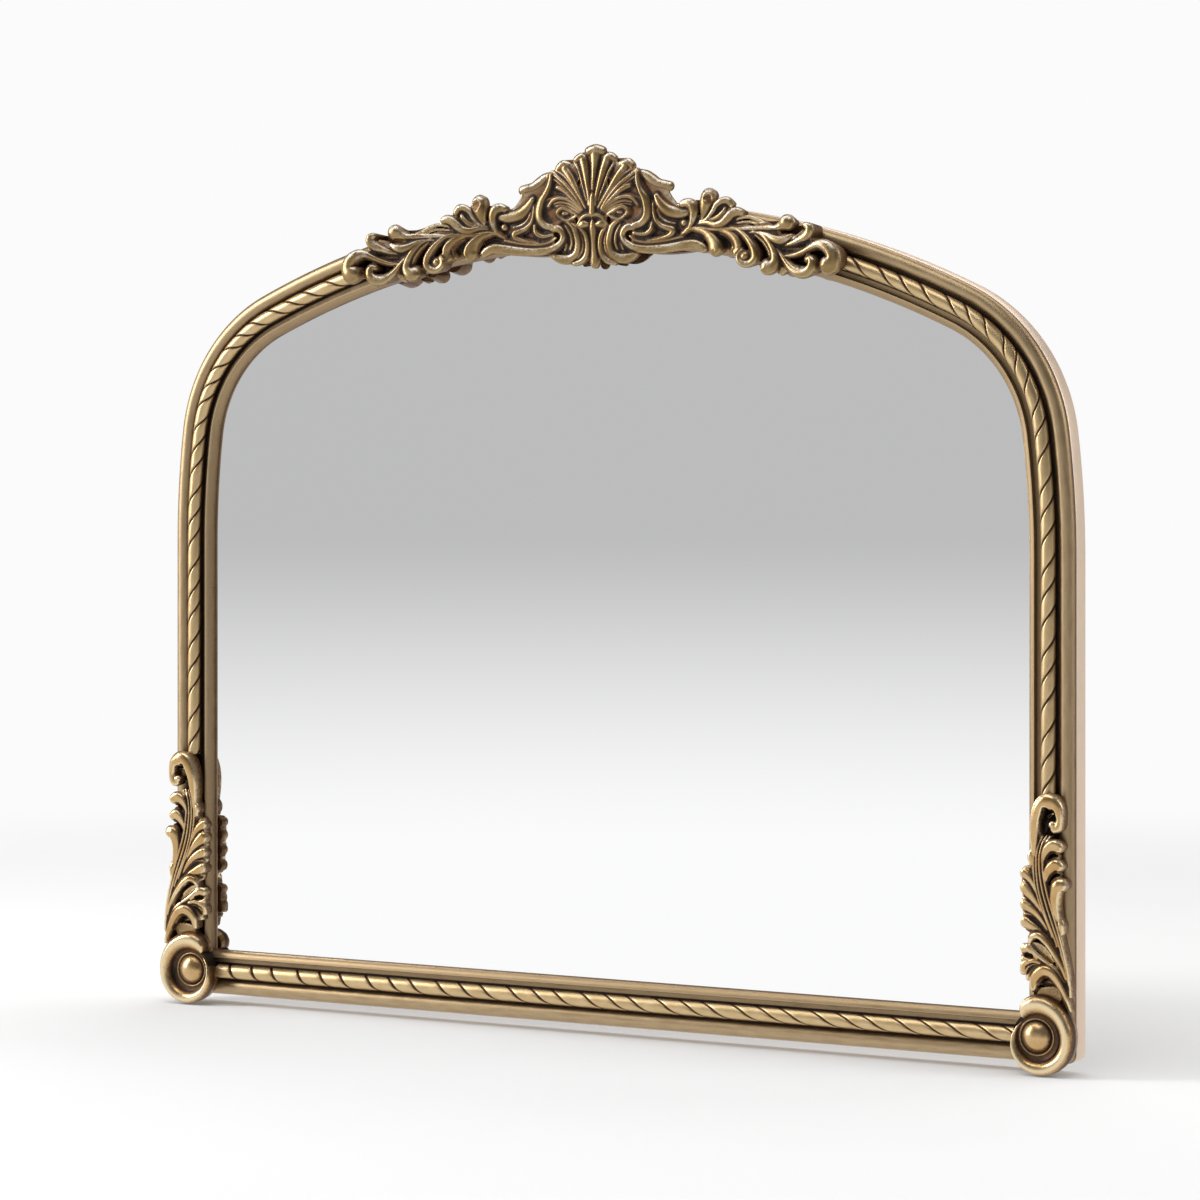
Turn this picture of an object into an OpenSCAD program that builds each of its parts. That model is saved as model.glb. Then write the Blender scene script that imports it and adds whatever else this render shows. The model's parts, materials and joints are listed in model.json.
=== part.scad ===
// Arched wall mirror in a carved frame: shell crest, leaf sprays, scroll feet and a rope bead.
// X runs across, the front faces -Y, Z is up. The origin lies on the wall, on the centre line,
// level with the two hanging rings.

/* [Frame outline] */
// Width across the outer edges of the frame
frame_w = 1017; // [940:1:1100]
// Length of the straight part of each stile
stile_h = 471.5; // [420:0.5:560]
// Height of the arch's spring line above the hanging rings
spring_z = 50; // [44:1:80]
// Radius of the slight curve that leads from the stile into the shoulder
side_r = 965; // [900:1:1050]
// Turn of that slight curve, in degrees
side_turn = 7; // [5:0.5:9]
// Radius of the shoulder
shoulder_r = 176.5; // [160:0.5:200]
// Half angle of the flat crown arc, in degrees
crown_turn = 25; // [23:0.5:28]
// Rounding of the two bottom corners
corner_r = 8; // [3:0.5:12]

/* [Moulding] */
// Width of the face moulding, from the outer edge to the sight edge
mould_w = 46; // [44:0.5:48]
// Radius of the outer half-round
bead_r = 8; // [7:0.25:8.5]
// Height of the outer half-round's centre above the back frame
bead_rise = 2.6; // [2:0.1:2.7]
// Depth of the web below the rope channel
web_t = 4.5; // [3.5:0.25:5.5]
// Width of the rope channel
channel_w = 22.4; // [21:0.1:23]
// Height of the quarter-round lip's crest above the back frame; the lip carries the carvings
lip_rise = 10.7; // [10:0.1:12]
// Distance from the lip's rear face to the back frame
rebate_t = 1.5; // [1:0.25:2.5]
// Width of the rebate in the moulding's rear, measured from the sight edge
rebate_w = 11.5; // [10:0.25:12]

/* [Rope bead] */
// Radius of the rope bead
rope_r = 7.7; // [7:0.1:8]
// Height of the rope's centre above the floor of its channel
rope_rise = 4.4; // [3:0.1:5]
// Gap between the outer half-round and the rope
rope_gap = 1.6; // [1.2:0.1:2.5]
// Angle from the centre line at which the arch ropes stop below the crest, in degrees
rope_stop = 16.5; // [14:0.5:18]
// Height above the bottom edge at which the stile ropes stop at the corner leaves
rope_foot = 253; // [253:1:260]
// Distance from the frame's side to the end of the bottom rope, which butts against the corner volute
rope_end = 57; // [57:0.5:60]

/* [Back] */
// Depth of the back frame
back_t = 21; // [16:0.5:30]
// Width of the back frame's timbers
back_w = 33; // [28:0.5:34]
// Standing height of the wall bumpers
bumper_t = 6.5; // [5.5:0.1:9]
// Radius of a wall bumper
bumper_r = 8; // [6:0.5:11]
// Thickness of the mirror glass
glass_t = 4; // [3:0.5:4]
// Thickness of the backing board
board_t = 3; // [2:0.5:3]
// Clearance round the glass and the board in the rebate
glass_gap = 1.5; // [1:0.25:2]
// Thickness of the joint plates
plate_t = 1.5; // [1:0.1:2]
// Width of the joint plates
plate_w = 16; // [12:1:20]
// Length of each arm of a corner plate
plate_l = 62; // [50:1:80]
// Width of a board clip
clip_w = 14; // [10:1:20]
// Length of each leg of a board clip
clip_l = 12; // [9:0.5:14]
// Thickness of a board clip
clip_t = 1.2; // [0.8:0.1:1.6]

/* [Hanging rings] */
// Distance of a ring's centre from the outer edge of the frame
hanger_inset = 16.5; // [15:0.5:17]
// Radius of the ring's wire
wire_r = 1.5; // [1.2:0.1:1.7]
// Radius of the ring's bow, at the middle of the wire
bow_r = 13; // [11:0.5:14]
// Running clearance between the wire and its strap
wire_gap = 0.05; // [0.03:0.01:0.08]
// Thickness of the strap
strap_t = 1; // [0.8:0.1:1.2]
// Width of the strap
strap_w = 12; // [9:0.5:14]
// Length of the strap below the ring's bar
strap_l = 44; // [38:1:55]
// Radius of the screws' shanks
screw_r = 1.6; // [1.2:0.1:2]
// Radius of the screws' heads
head_r = 3.6; // [3:0.1:4.2]
// Height of the screws' heads
head_t = 1.3; // [1:0.1:1.6]

/* [Carving] */
// Height of the rosette's dome above the carvings' seat
dome_h = 20.4; // [18:0.2:22]
// Radius of the rosette's dome
dome_r = 14.4; // [12:0.2:15]
// Radius of the rosette's dish
dish_r = 23.4; // [22:0.2:24]
// Thickness of the dish's floor above the carvings' seat
dish_t = 12.2; // [10:0.2:14]
// Radius of the fine ring round the dome
fine_r = 17; // [16:0.25:19]
// Depth of the shell behind the carvings' seat, where it stands above the frame
shell_back = 8; // [5:0.5:9]
// Clearance between the shell's back and the top edge of the frame
shell_gap = 0.5; // [0.3:0.1:1]

/* [Hidden] */
$fn = 64;

w2 = frame_w / 2;
bottom_z = spring_z - stile_h;
back_y = -bumper_t;            // rear face of the back frame
seat_y = back_y - back_t;      // front face of the back frame, where the moulding sits
carve_y = seat_y - lip_rise;
carve_gap = 0.3;               // gap between neighbouring carvings

// arc centres of the outer outline, right half
side_cx = w2 - side_r;
shoulder_cx = side_cx + (side_r - shoulder_r) * cos(side_turn);
shoulder_cz = spring_z + (side_r - shoulder_r) * sin(side_turn);
crown_r = shoulder_r + shoulder_cx / sin(crown_turn);
crown_cz = shoulder_cz - (crown_r - shoulder_r) * cos(crown_turn);
crown_z = crown_cz + crown_r;

channel_in = bead_r + sqrt(pow(bead_r, 2) - pow(web_t - bead_rise, 2));
channel_out = channel_in + channel_w;
rope_d = 2 * bead_r + rope_gap + rope_r - 0.5;
glass_d = mould_w - rebate_w + glass_gap;
loop_r = wire_r + wire_gap + strap_t;
ring_clear = 0.3;              // gap between the hanging ring and the strap's tongue
ring_y = back_y + strap_t + ring_clear + wire_r; // middle of the ring's bar

tan_c = [0.60, 0.50, 0.37];
gold_c = [0.66, 0.56, 0.34];
brown_c = [0.45, 0.34, 0.22];
wood_c = [0.72, 0.60, 0.44];
steel_c = [0.62, 0.63, 0.64];

function arc_points(cx, cz, r, a0, a1, n) =
  [for (i = [0:n]) let (a = a0 + (a1 - a0) * i / n) [cx + r * cos(a), cz + r * sin(a)]];

function right_points(d) = concat(
  [[w2 - d, bottom_z + d]],
  arc_points(side_cx, spring_z, side_r - d, 0, side_turn, 4),
  arc_points(shoulder_cx, shoulder_cz, shoulder_r - d, side_turn, 90 - crown_turn, 16),
  arc_points(0, crown_cz, crown_r - d, 90 - crown_turn, 90, 12)
);

// Outline of the whole frame, drawn in by d
module outline(d) {
  polygon(concat(right_points(d), [for (p = right_points(d)) [-p[0], p[1]]]), [concat(
    [for (i = [0:len(right_points(d)) - 1]) i],
    [for (i = [2 * len(right_points(d)) - 2:-1:len(right_points(d))]) i]
  )]);
}

// Flat plate with the frame's outline drawn in by d, its rear face at y
module plate(d, y, t) {
  translate([0, y, 0]) rotate([90, 0, 0]) linear_extrude(t) outline(d);
}

// Puts a profile (x = inset from the outer edge, y = height above the seat at y) along a run
module up_stile(z0, z1, y) {
  translate([w2, y, z0]) linear_extrude(z1 - z0) rotate(180) children();
}
module along_bottom(x0, x1, y) {
  translate([x0, y, bottom_z]) rotate([90, 0, 90]) linear_extrude(x1 - x0) rotate(90) children();
}
module round_arc(cx, cz, r, a0, a1, y) {
  translate([cx, y, cz]) rotate([90, 0, 0]) rotate([0, 0, a0])
    rotate_extrude(angle = a1 - a0) translate([r, 0]) mirror([1, 0]) children();
}
// The slight curve above the stile, the shoulder, and the crown from the angle a0 to a1
module easing(y) {
  round_arc(side_cx, spring_z, side_r, 0, side_turn, y) children();
}
module shoulder(y) {
  round_arc(shoulder_cx, shoulder_cz, shoulder_r, side_turn, 90 - crown_turn, y) children();
}
module crown(a0, a1, y) {
  round_arc(0, crown_cz, crown_r, a0, a1, y) children();
}
module both_sides() {
  children();
  mirror([1, 0, 0]) children();
}

// Cuts that round the frame's bottom corner and that mitre the mouldings
module corner_cut() {
  translate([w2 - corner_r, 0, bottom_z + corner_r]) rotate([90, 0, 0])
    difference() {
      translate([0, -2 * corner_r, -1]) cube([2 * corner_r, 2 * corner_r, back_t + 60]);
      translate([0, 0, -2]) cylinder(r = corner_r, h = back_t + 62);
    }
}
module mitre_cut(side) {
  reach = mould_w + 5;
  far = side == "stile" ? [w2 - reach, bottom_z - 5] : [w2 + 5, bottom_z + reach];
  translate([0, 1, 0]) rotate([90, 0, 0]) linear_extrude(back_t + 60)
    polygon([[w2 + 5, bottom_z - 5], far, [w2 - reach, bottom_z + reach]]);
}

// Profiles
module moulding_profile() {
  lip_w = mould_w - channel_out;
  difference() {
    union() {
      square([channel_out, web_t]);
      translate([bead_r, bead_rise]) circle(bead_r);
      translate([channel_out, 0]) square([lip_w, lip_rise - lip_w]);
      intersection() {
        translate([channel_out, lip_rise - lip_w]) circle(lip_w);
        translate([channel_out, 0]) square([lip_w, lip_rise]);
      }
    }
    translate([-1, -2 * bead_r]) square([mould_w + 2, 2 * bead_r]);
    translate([mould_w - rebate_w, -1]) square([rebate_w + 1, rebate_t + 1]);
  }
}
module rope_profile() {
  intersection() {
    translate([rope_d, web_t + rope_rise]) circle(rope_r);
    translate([rope_d - rope_r, web_t]) square([2 * rope_r, rope_rise + rope_r]);
  }
}
module back_profile() {
  square([back_w, back_t]);
}

// Face mouldings
module bottom_moulding() {
  color(tan_c) difference() {
    along_bottom(-w2, w2, seat_y) moulding_profile();
    both_sides() { corner_cut(); mitre_cut("rail"); }
  }
}
module side_moulding() {
  color(tan_c) {
    difference() {
      up_stile(bottom_z, spring_z, seat_y) moulding_profile();
      corner_cut();
      mitre_cut("stile");
    }
    easing(seat_y) moulding_profile();
  }
}
module shoulder_moulding() {
  color(tan_c) shoulder(seat_y) moulding_profile();
}
module crown_moulding() {
  color(tan_c) crown(90 - crown_turn, 90 + crown_turn, seat_y) moulding_profile();
}

// Timbers of the back frame
module back_bottom() {
  color(wood_c) along_bottom(-w2 + back_w, w2 - back_w, back_y) back_profile();
}
module back_side() {
  color(wood_c) {
    difference() {
      up_stile(bottom_z, spring_z, back_y) back_profile();
      corner_cut();
    }
    easing(back_y) back_profile();
  }
}
module back_shoulder() {
  color(wood_c) shoulder(back_y) back_profile();
}
module back_crown() {
  color(wood_c) crown(90 - crown_turn, 90 + crown_turn, back_y) back_profile();
}

// Rope bead strips in their channel
module rope_bottom() {
  color(gold_c) along_bottom(-w2 + rope_end, w2 - rope_end, seat_y) rope_profile();
}
module rope_side() {
  color(gold_c) {
    up_stile(bottom_z + rope_foot, spring_z, seat_y) rope_profile();
    easing(seat_y) rope_profile();
  }
}
module rope_shoulder() {
  color(gold_c) shoulder(seat_y) rope_profile();
}
module rope_crown() {
  color(gold_c) crown(90 - crown_turn, 90 - rope_stop, seat_y) rope_profile();
}

// Carved strokes. A stroke runs through points [x, z, half width, height]; its back is flat.
function spline(a, b, c, d, t) =
  0.5 * (2 * b + (c - a) * t + (2 * a - 5 * b + 4 * c - d) * t * t + (3 * b - a - 3 * c + d) * t * t * t);
function curve(p, n) = concat(
  [for (i = [0:len(p) - 2]) for (k = [0:n - 1])
    spline(p[max(i - 1, 0)], p[i], p[i + 1], p[min(i + 2, len(p) - 1)], k / n)],
  [p[len(p) - 1]]
);
function heading(p, i) =
  let (v = p[min(i + 1, len(p) - 1)] - p[max(i - 1, 0)], m = norm([v[0], v[1]])) [v[0] / m, v[1] / m];
// rounds a stroke's end: a narrower, lower section beyond the last point
function end_cap(q, way, reach) =
  [q[0] + way[0] * reach * q[2], q[1] + way[1] * reach * q[2], 0.5 * q[2], 0.6 * q[3]];
function capped(p, reach) =
  let (first = heading(p, 0), last = heading(p, len(p) - 1)) concat(
    [end_cap(p[0], [-first[0], -first[1]], reach)], p, [end_cap(p[len(p) - 1], last, reach)]
  );
section = [[-1, 0], [-0.82, 0.66], [0, 1], [0.82, 0.66], [1, 0]];

// n sections a span; grow widens the stroke all round, to cut room for it in a neighbour
module stroke(points, n = 1, reach = 0.8, grow = 0) {
  p = capped(curve(points, n), reach);
  m = len(section);
  last = (len(p) - 1) * m;
  body = [for (i = [0:len(p) - 1]) let (h = heading(p, i), w = p[i][2] + grow) for (s = section)
    [p[i][0] - h[1] * s[0] * w, s[1] == 0 ? grow : -(p[i][3] + grow) * s[1], p[i][1] + h[0] * s[0] * w]];
  sides = [for (i = [0:len(p) - 2]) for (k = [0:m - 1])
    let (a = i * m + k, b = i * m + (k + 1) % m, c = a + m, d = b + m) each [[a, b, d], [a, d, c]]];
  ends = [for (k = [1:m - 2]) each [[0, k + 1, k], [last, last + k, last + k + 1]]];
  polyhedron(body, concat(sides, ends));
}
// A round boss, as a short wide stroke
module boss(x, z, r, h) {
  stroke([[x - 0.3 * r, z, 0.9 * r, 0.9 * h], [x, z, r, h], [x + 0.3 * r, z, 0.9 * r, 0.9 * h]], 1, 0.6);
}
// Low flat ground between strokes, as a chain of rounded pads
module ground(points, grow = 0) {
  for (i = [0:len(points) - 2]) hull() {
    for (q = [points[i], points[i + 1]])
      translate([q[0], grow, q[1]]) rotate([90, 0, 0])
        cylinder(r = q[2] + grow, h = q[3] + 2 * grow, $fn = 14);
  }
}

// Crest, in x from the centre line and z from the frame's top edge
shell_ribs = [
  [[4, -5, 1.8, 9], [7, 14, 3, 7], [11, 31, 5, 5.5], [17.5, 41.5, 7.5, 4.2]],
  [[9, -6, 1.6, 9], [18, 9, 3, 7.5], [27, 23, 5, 6], [38, 34, 6.5, 4.2]],
  [[12, -8, 1.5, 9], [26, 9, 2.2, 8], [39, 22, 2.8, 6], [48, 28, 2.8, 5]],
  [[12, -10, 1.5, 9], [24, 0, 2.2, 8.8], [36, 3, 2.6, 8.4], [46, 0.5, 2.4, 8]]
];
shell_lobes = [
  [[14, -28, 2, 7.4], [8.5, -38, 3, 7], [8, -48, 3.5, 6.4], [12, -56, 3.5, 5.6], [18, -61, 3.2, 5.2],
    [24, -63, 2.5, 4.8]],
  [[28, -21, 3, 8], [20, -30, 4, 8.2], [17.5, -43, 4.2, 7.6], [20.5, -53, 4.8, 6.8], [28, -58, 5.5, 6.6],
    [38, -58, 5.5, 6.4], [47, -54, 4, 5.6]],
  [[17, -14, 1.5, 8.6], [26, -9, 4, 8.8], [35, -8, 5, 8.8]],
  [[3, -25, 4, 9], [9, -24, 5.5, 9.8], [12, -21, 4, 9]]
];
shell_middle = [
  [[0, -13, 4.5, 9.8], [0, 4, 3, 8.6], [0, 22, 2.8, 6.6], [0, 38, 6.5, 4.6], [0, 49.5, 12, 4.2]],
  [[0, -26, 5, 8.4], [0, -42, 3, 6.8], [0, -57, 5.5, 5.2], [0, -62, 5.5, 5]]
];
shell_plate = 2.5; // thickness of the plate behind the shell's ribs
shell_edge = [[0, 50], [10, 50], [17, 44], [26, 43], [34, 37], [44, 35], [50, 26], [53, 12], [58, -4],
  [54, -18], [46, -26], [35, -30], [34, -46], [42, -55], [28, -60], [12, -62], [0, -63]];
module half_shell(grow = 0) {
  for (p = concat(shell_ribs, shell_lobes)) stroke(p, 2, 0.55, grow);
  translate([0, grow, 0]) rotate([90, 0, 0]) linear_extrude(shell_plate + 2 * grow) polygon(shell_edge);
}
module crest_shell() {
  color(gold_c) translate([0, carve_y, crown_z]) {
    both_sides() {
      half_shell();
    }
    for (p = shell_middle) stroke(p, 1, 0.55);
    ground([for (i = [0:8]) [0, -20 + 7 * i, 4 + 1.2 * i, 3]]);
    intersection() {
      translate([0, 0, -crown_z]) translate([0, shell_back, 0]) difference() {
        translate([-45, -shell_back - 1, crown_z - 20]) cube([90, shell_back + 1, 90]);
        translate([0, 1, crown_cz]) rotate([90, 0, 0])
          cylinder(r = crown_r + shell_gap, h = shell_back + 3, $fn = 360);
      }
      both_sides() translate([0, shell_back, 0]) rotate([90, 0, 0]) linear_extrude(shell_back + 1)
        polygon([[0, 50], [10, 50], [17, 44], [26, 43], [34, 37], [40, 33], [42, -10], [0, -10]]);
    }
  }
}

scroll_strokes = [
  [[49, 25, 3, 6], [53, 12, 4, 7], [59, 2, 5.5, 8], [61.5, -9, 6, 8.5], [61, -18, 6, 8.5], [55, -25, 5, 8],
    [47, -26, 4.5, 8]],
  [[43, -25, 4.5, 8], [37, -26, 4.5, 8], [33, -33, 3.2, 8], [35, -41, 3.5, 8], [44, -46.5, 4, 8.5],
    [60, -49, 4.3, 9], [80, -48.5, 4.5, 9.5], [98, -46, 5.5, 10], [112, -46, 6, 10.5], [122, -50, 5, 10]],
  [[53, 26, 4.5, 4], [60, 21, 6, 4.2], [70, 15, 5.5, 4.4], [82, 12, 5.2, 4.4]],
  [[69, 4, 5, 6], [75, -3, 6.5, 7.5], [83, -10, 7, 8], [94, -14.5, 6.5, 8], [104, -14.5, 4.5, 7]],
  [[68, -8, 1.5, 6], [71, -22, 2.2, 7], [80, -28, 2.8, 8], [91, -31, 3.2, 8], [86, -38.5, 2.5, 7.5],
    [72, -41.5, 2, 7], [56, -41, 1.6, 6.5]]
];
scroll_ground = [[56, 15, 6, 3], [64, 8, 9, 3], [70, -4, 12, 3], [70, -18, 14, 3], [56, -32, 11, 3],
  [70, -38, 12, 3], [86, -34, 14, 3.5], [98, -30, 14, 3.5], [110, -42, 10, 4], [118, -46, 7, 4]];
module scroll_body(grow = 0) {
  for (p = scroll_strokes) stroke(p, 2, 0.8, grow);
  boss(101, -26, 4.5 + grow, 7 + grow);
  ground(scroll_ground, grow);
}
module crest_scroll() {
  color(gold_c) translate([0, carve_y, crown_z]) difference() {
    scroll_body();
    half_shell(carve_gap);
  }
}

spray_strokes = [
  [[106, -30, 1.5, 7], [111, -23, 3.5, 10.5], [112.5, -15, 4.8, 12], [110, -8, 5.5, 12.3],
    [104, -5, 4, 10.7]],
  [[124, -20, 2, 8], [127, -13, 6, 12.5], [129.5, -4, 8.5, 14.6], [130.5, 1, 7.5, 13.2]],
  [[128, -25, 2.5, 10.1], [138, -20, 5, 13.1], [146, -13, 7.5, 15.2], [151, -7.5, 6.5, 13.7]],
  [[122, -26, 1.5, 9.6], [135, -28, 4, 12.7], [148, -25.5, 5, 15.1], [158, -19.5, 5.5, 16.3],
    [166, -16.5, 4.5, 14.9]],
  [[158, -28, 2, 11.8], [170, -24.5, 3, 14.3], [182, -25.5, 3, 14.3], [192, -29.5, 1.5, 12.6]],
  [[108, -31, 3, 8], [130, -31.5, 3.5, 11.5], [155, -32, 4, 14.7], [180, -32, 4, 16.7],
    [205, -33, 3.5, 18.5], [222, -36, 2.5, 19.1]],
  [[114, -32, 1.5, 9.6], [126, -33, 2.5, 12.1], [135, -37.5, 4, 13.7], [139.5, -45, 5.5, 15.3],
    [138.5, -51, 6.5, 15.2]],
  [[142, -33, 1.5, 12.6], [153, -34.5, 3, 15.3], [161, -41, 4, 16.7], [165, -48, 4.5, 16.9],
    [162.5, -54, 3.5, 15.5]],
  [[160, -31.5, 1.5, 13.6], [172, -37.5, 2.5, 16.1], [182, -46, 3.5, 18.5], [186, -56, 4, 19.7],
    [183, -64, 4, 19.7], [175, -66.5, 3.7, 19.6], [168, -63, 3.5, 18.5], [168, -57, 2.8, 17.2]],
  [[181, -38, 1.5, 15.6], [193, -43.5, 2.5, 18.1], [202, -53, 3.5, 20.6], [207, -63, 4.5, 22.1],
    [203, -70, 7.5, 23.4]],
  [[207, -45, 1.5, 17.6], [214, -55, 2, 20], [221, -65, 3, 21.5], [229, -72.5, 4.5, 24.4],
    [239, -76.5, 6, 26.1], [248, -74, 6.5, 26.3], [250.5, -67, 5, 24.6], [246, -62.5, 3, 22.6]],
  [[211, -52.5, 1.2, 17.5], [221, -59.5, 1.8, 19.9], [234, -58.5, 2, 22.2], [247, -53, 2.5, 24.7],
    [258, -49.5, 3.5, 27.3], [268, -53, 6, 30.6], [273, -61, 8, 32.6], [270.5, -67, 9, 31.9]],
  [[192, -31.5, 1.5, 16.6], [206, -32.5, 2, 18.8], [215, -31.5, 3.5, 21.7], [221, -27, 6.5, 24.1]],
  [[199, -39, 1.2, 16.5], [206, -43, 3, 20.4], [214, -45.5, 4, 23], [222, -44.5, 3.5, 22.8],
    [228, -41, 2, 21.1]],
  [[219, -50, 1, 19.5], [230, -47, 2.5, 22.4], [240, -42.5, 4, 26.4], [246.5, -38, 5.5, 29.3],
    [247.5, -35, 4.5, 27.7]]
];
spray_ground = [[106, -28, 9, 4], [120, -22, 12, 5], [135, -26, 16, 6], [150, -32, 15, 7], [165, -37, 13, 8],
  [180, -42, 13, 9], [195, -46, 15, 11], [210, -52, 14, 13], [225, -56, 14, 15], [240, -58, 14, 17],
  [255, -58, 13, 18], [264, -60, 10, 18]];
module crest_spray() {
  color(gold_c) translate([0, carve_y, crown_z]) difference() {
    union() {
      for (p = spray_strokes) stroke(p, 1);
      boss(174, -59, 4.5, 18);
      ground(spray_ground);
    }
    scroll_body(carve_gap);
  }
}

// Corner carvings, in x from the frame's outer edge inwards and z from its bottom edge
leaf_strokes = [
  [[35, 201.5, 2, 10], [35, 213.5, 3, 12], [33, 227.5, 4, 14], [27.5, 239.5, 5.5, 15], [18.5, 245.5, 6.5, 15],
    [9.5, 242, 5, 14], [5, 233.5, 3.8, 13], [6, 224.5, 4, 13], [11, 220, 4.5, 13]],
  [[29.5, 210.5, 4.5, 9], [30.5, 193.5, 5, 11], [29.5, 175.5, 5, 12], [24.5, 158.5, 5, 12],
    [17.5, 141.5, 5, 12], [9.5, 123.5, 5, 12], [2.5, 105.5, 4.5, 12], [-2, 85.5, 4, 11], [-4.5, 62.5, 2.5, 9]],
  [[26.5, 180.5, 1.5, 10], [24.5, 193.5, 3, 12], [19.5, 201, 4, 12], [12.5, 204, 4.5, 12],
    [8.5, 203.5, 3.5, 11]],
  [[24.5, 167.5, 1.5, 10], [21.5, 178.5, 3, 12], [17, 185, 4, 12], [11, 188, 4.5, 12],
    [7.5, 187.5, 3.5, 11]],
  [[8.5, 137.5, 1.5, 9], [13, 148.5, 2, 11], [13.5, 158.5, 3, 12], [10, 167.5, 4.5, 13],
    [5.5, 172.5, 5.5, 13]],
  [[6.5, 123.5, 1.5, 9], [5, 130.5, 3, 10], [3.5, 135, 3, 10]],
  [[33.5, 181.5, 1.5, 9], [38, 189.5, 3.5, 10], [39.5, 195.5, 4, 9]],
  [[29.5, 165.5, 1.5, 10], [35.5, 171.5, 2.5, 12], [41.5, 176, 4.5, 12], [43.5, 177.5, 4, 11]],
  [[26.5, 147.5, 1.5, 10], [33.5, 156.5, 3, 12], [41, 163, 5.5, 12], [43.5, 165, 4.5, 11]],
  [[22.5, 134.5, 1.5, 10], [30.5, 143, 2.5, 12], [38.5, 148.5, 4.5, 12], [42, 149.5, 4, 11]],
  [[18.5, 121.5, 1.5, 10], [27.5, 127.5, 2.5, 12], [35.5, 132.5, 5, 12], [40.5, 133.5, 5, 11]],
  [[37.5, 116.5, 2, 11], [32.5, 122, 2.5, 12], [24.5, 122, 2.5, 13], [16.5, 114.5, 2.5, 13],
    [8.5, 102.5, 2.5, 12], [1.5, 86.5, 2, 11], [-3.5, 65.5, 1.5, 9]],
  [[38.5, 111.5, 2, 11], [31.5, 105.5, 2, 12], [22.5, 100, 2.5, 12], [11.5, 92.5, 2.5, 12],
    [3.5, 80.5, 2, 11]],
  [[24.5, 95.5, 2, 11], [32.5, 104.5, 3, 12], [40.5, 108.5, 4.5, 13], [44, 107.5, 4, 12]],
  [[22.5, 94.5, 2.5, 11], [31.5, 97.5, 3, 12], [40.5, 94.5, 4.5, 13], [44, 87.5, 4, 12],
    [42.5, 82.5, 2.5, 10]],
  [[35.5, 71.5, 3, 12], [34.5, 80.5, 5, 14], [28.5, 88.5, 6, 15], [20.5, 90.5, 6, 15], [12.5, 86.5, 5, 14],
    [5.5, 77.5, 3.5, 13], [0.5, 66.5, 2.5, 12]]
];
leaf_ground = [[27, 212, 6, 4], [26, 200, 11, 4], [25, 188, 14, 5], [25, 176, 15, 5], [25, 164, 15, 5],
  [24, 152, 15, 5], [22, 140, 15, 5], [20, 130, 12, 5], [12, 116, 7, 5], [5, 100, 5, 5]];
volute_path = [[38.7, 53.4, 9.1, 18.9], [26.1, 55.9, 9.8, 20], [14, 51.9, 9.2, 20.5], [5, 43.1, 8.3, 20.7],
    [0.1, 30.9, 7.5, 20.8], [0.5, 18, 7.3, 20.8], [6.4, 6.5, 7.3, 20.8], [16.7, -1.1, 7.1, 20.8],
    [29.3, -3.1, 6.7, 20.6], [41.2, 0.7, 6.1, 20.3], [49.7, 9.4, 5.1, 19.7], [53.1, 20.5, 3.9, 18.6],
    [51.7, 29.9, 2.6, 16.8], [48.5, 35.6, 1.6, 14.8]];
rosette_at = [30.5, 25.9];

module to_corner() {
  translate([w2, carve_y, bottom_z]) mirror([1, 0, 0]) children();
}
module at_rosette() {
  translate([rosette_at[0], 0, rosette_at[1]]) rotate([90, 0, 0]) children();
}
module corner_leaf() {
  color(gold_c) to_corner() difference() {
    union() {
      for (p = leaf_strokes) stroke(p, 1);
      boss(13.5, 223.5, 6, 12);
      ground(leaf_ground);
    }
    translate([10, -60, -20]) cube([50, 61, 88]);
    translate([-20, -60, -20]) cube([31, 61, 80]);
  }
}
module corner_volute() {
  color(gold_c) to_corner() difference() {
    stroke(volute_path, 2);
    at_rosette() translate([0, 0, -1]) cylinder(r = dish_r + carve_gap, h = dish_t + 1);
  }
}
module rosette() {
  color(brown_c) to_corner() at_rosette() {
    cylinder(r = dish_r, h = dish_t);
    rotate_extrude() translate([fine_r, dish_t]) circle(0.8);
    rotate_extrude() intersection() {
      translate([0, dome_h - dome_sphere_r]) circle(dome_sphere_r);
      translate([0, dish_t - 1]) square([dome_r, dome_h]);
    }
  }
}
dome_rise = dome_h - dish_t;
dome_sphere_r = (pow(dome_r, 2) + pow(dome_rise, 2)) / (2 * dome_rise);

// Glass and its backing, laid in the rebate from behind
module mirror_glass() {
  color([0.80, 0.82, 0.83]) plate(glass_d, seat_y - rebate_t + glass_t, glass_t);
}
module backing_board() {
  color(brown_c) plate(glass_d, seat_y - rebate_t + glass_t + board_t, board_t);
}

board_back = seat_y - rebate_t + glass_t + board_t; // rear face of the backing board

// Places on the back frame's inner face: [x, z, turn about Y]; the turn points into the opening
clip_x = [-300, 0, 300];
clip_z = [bottom_z + 110, spring_z - 110];
function on_arch(r, cx, cz, a) = [cx + r * cos(a), cz + r * sin(a), 180 - a];
shoulder_mid = (side_turn + 90 - crown_turn) / 2;
clip_spots = concat(
  [for (x = clip_x) [x, bottom_z + back_w, -90]],
  [for (z = clip_z) [w2 - back_w, z, 180]],
  [for (z = clip_z) [-w2 + back_w, z, 0]],
  [on_arch(shoulder_r - back_w, shoulder_cx, shoulder_cz, shoulder_mid),
   on_arch(crown_r - back_w, 0, crown_cz, 78), on_arch(crown_r - back_w, 0, crown_cz, 102)],
  [let (q = on_arch(shoulder_r - back_w, shoulder_cx, shoulder_cz, shoulder_mid)) [-q[0], q[1], 180 - q[2]]]
);
module clip_place(q) {
  translate([q[0], board_back, q[1]]) rotate([0, q[2], 0]) children();
}
clip_lift = 0.4;                // sag of the curved inner face across a clip
clip_head_r = head_r - 0.6;     // the clips' screws are a size smaller
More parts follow.
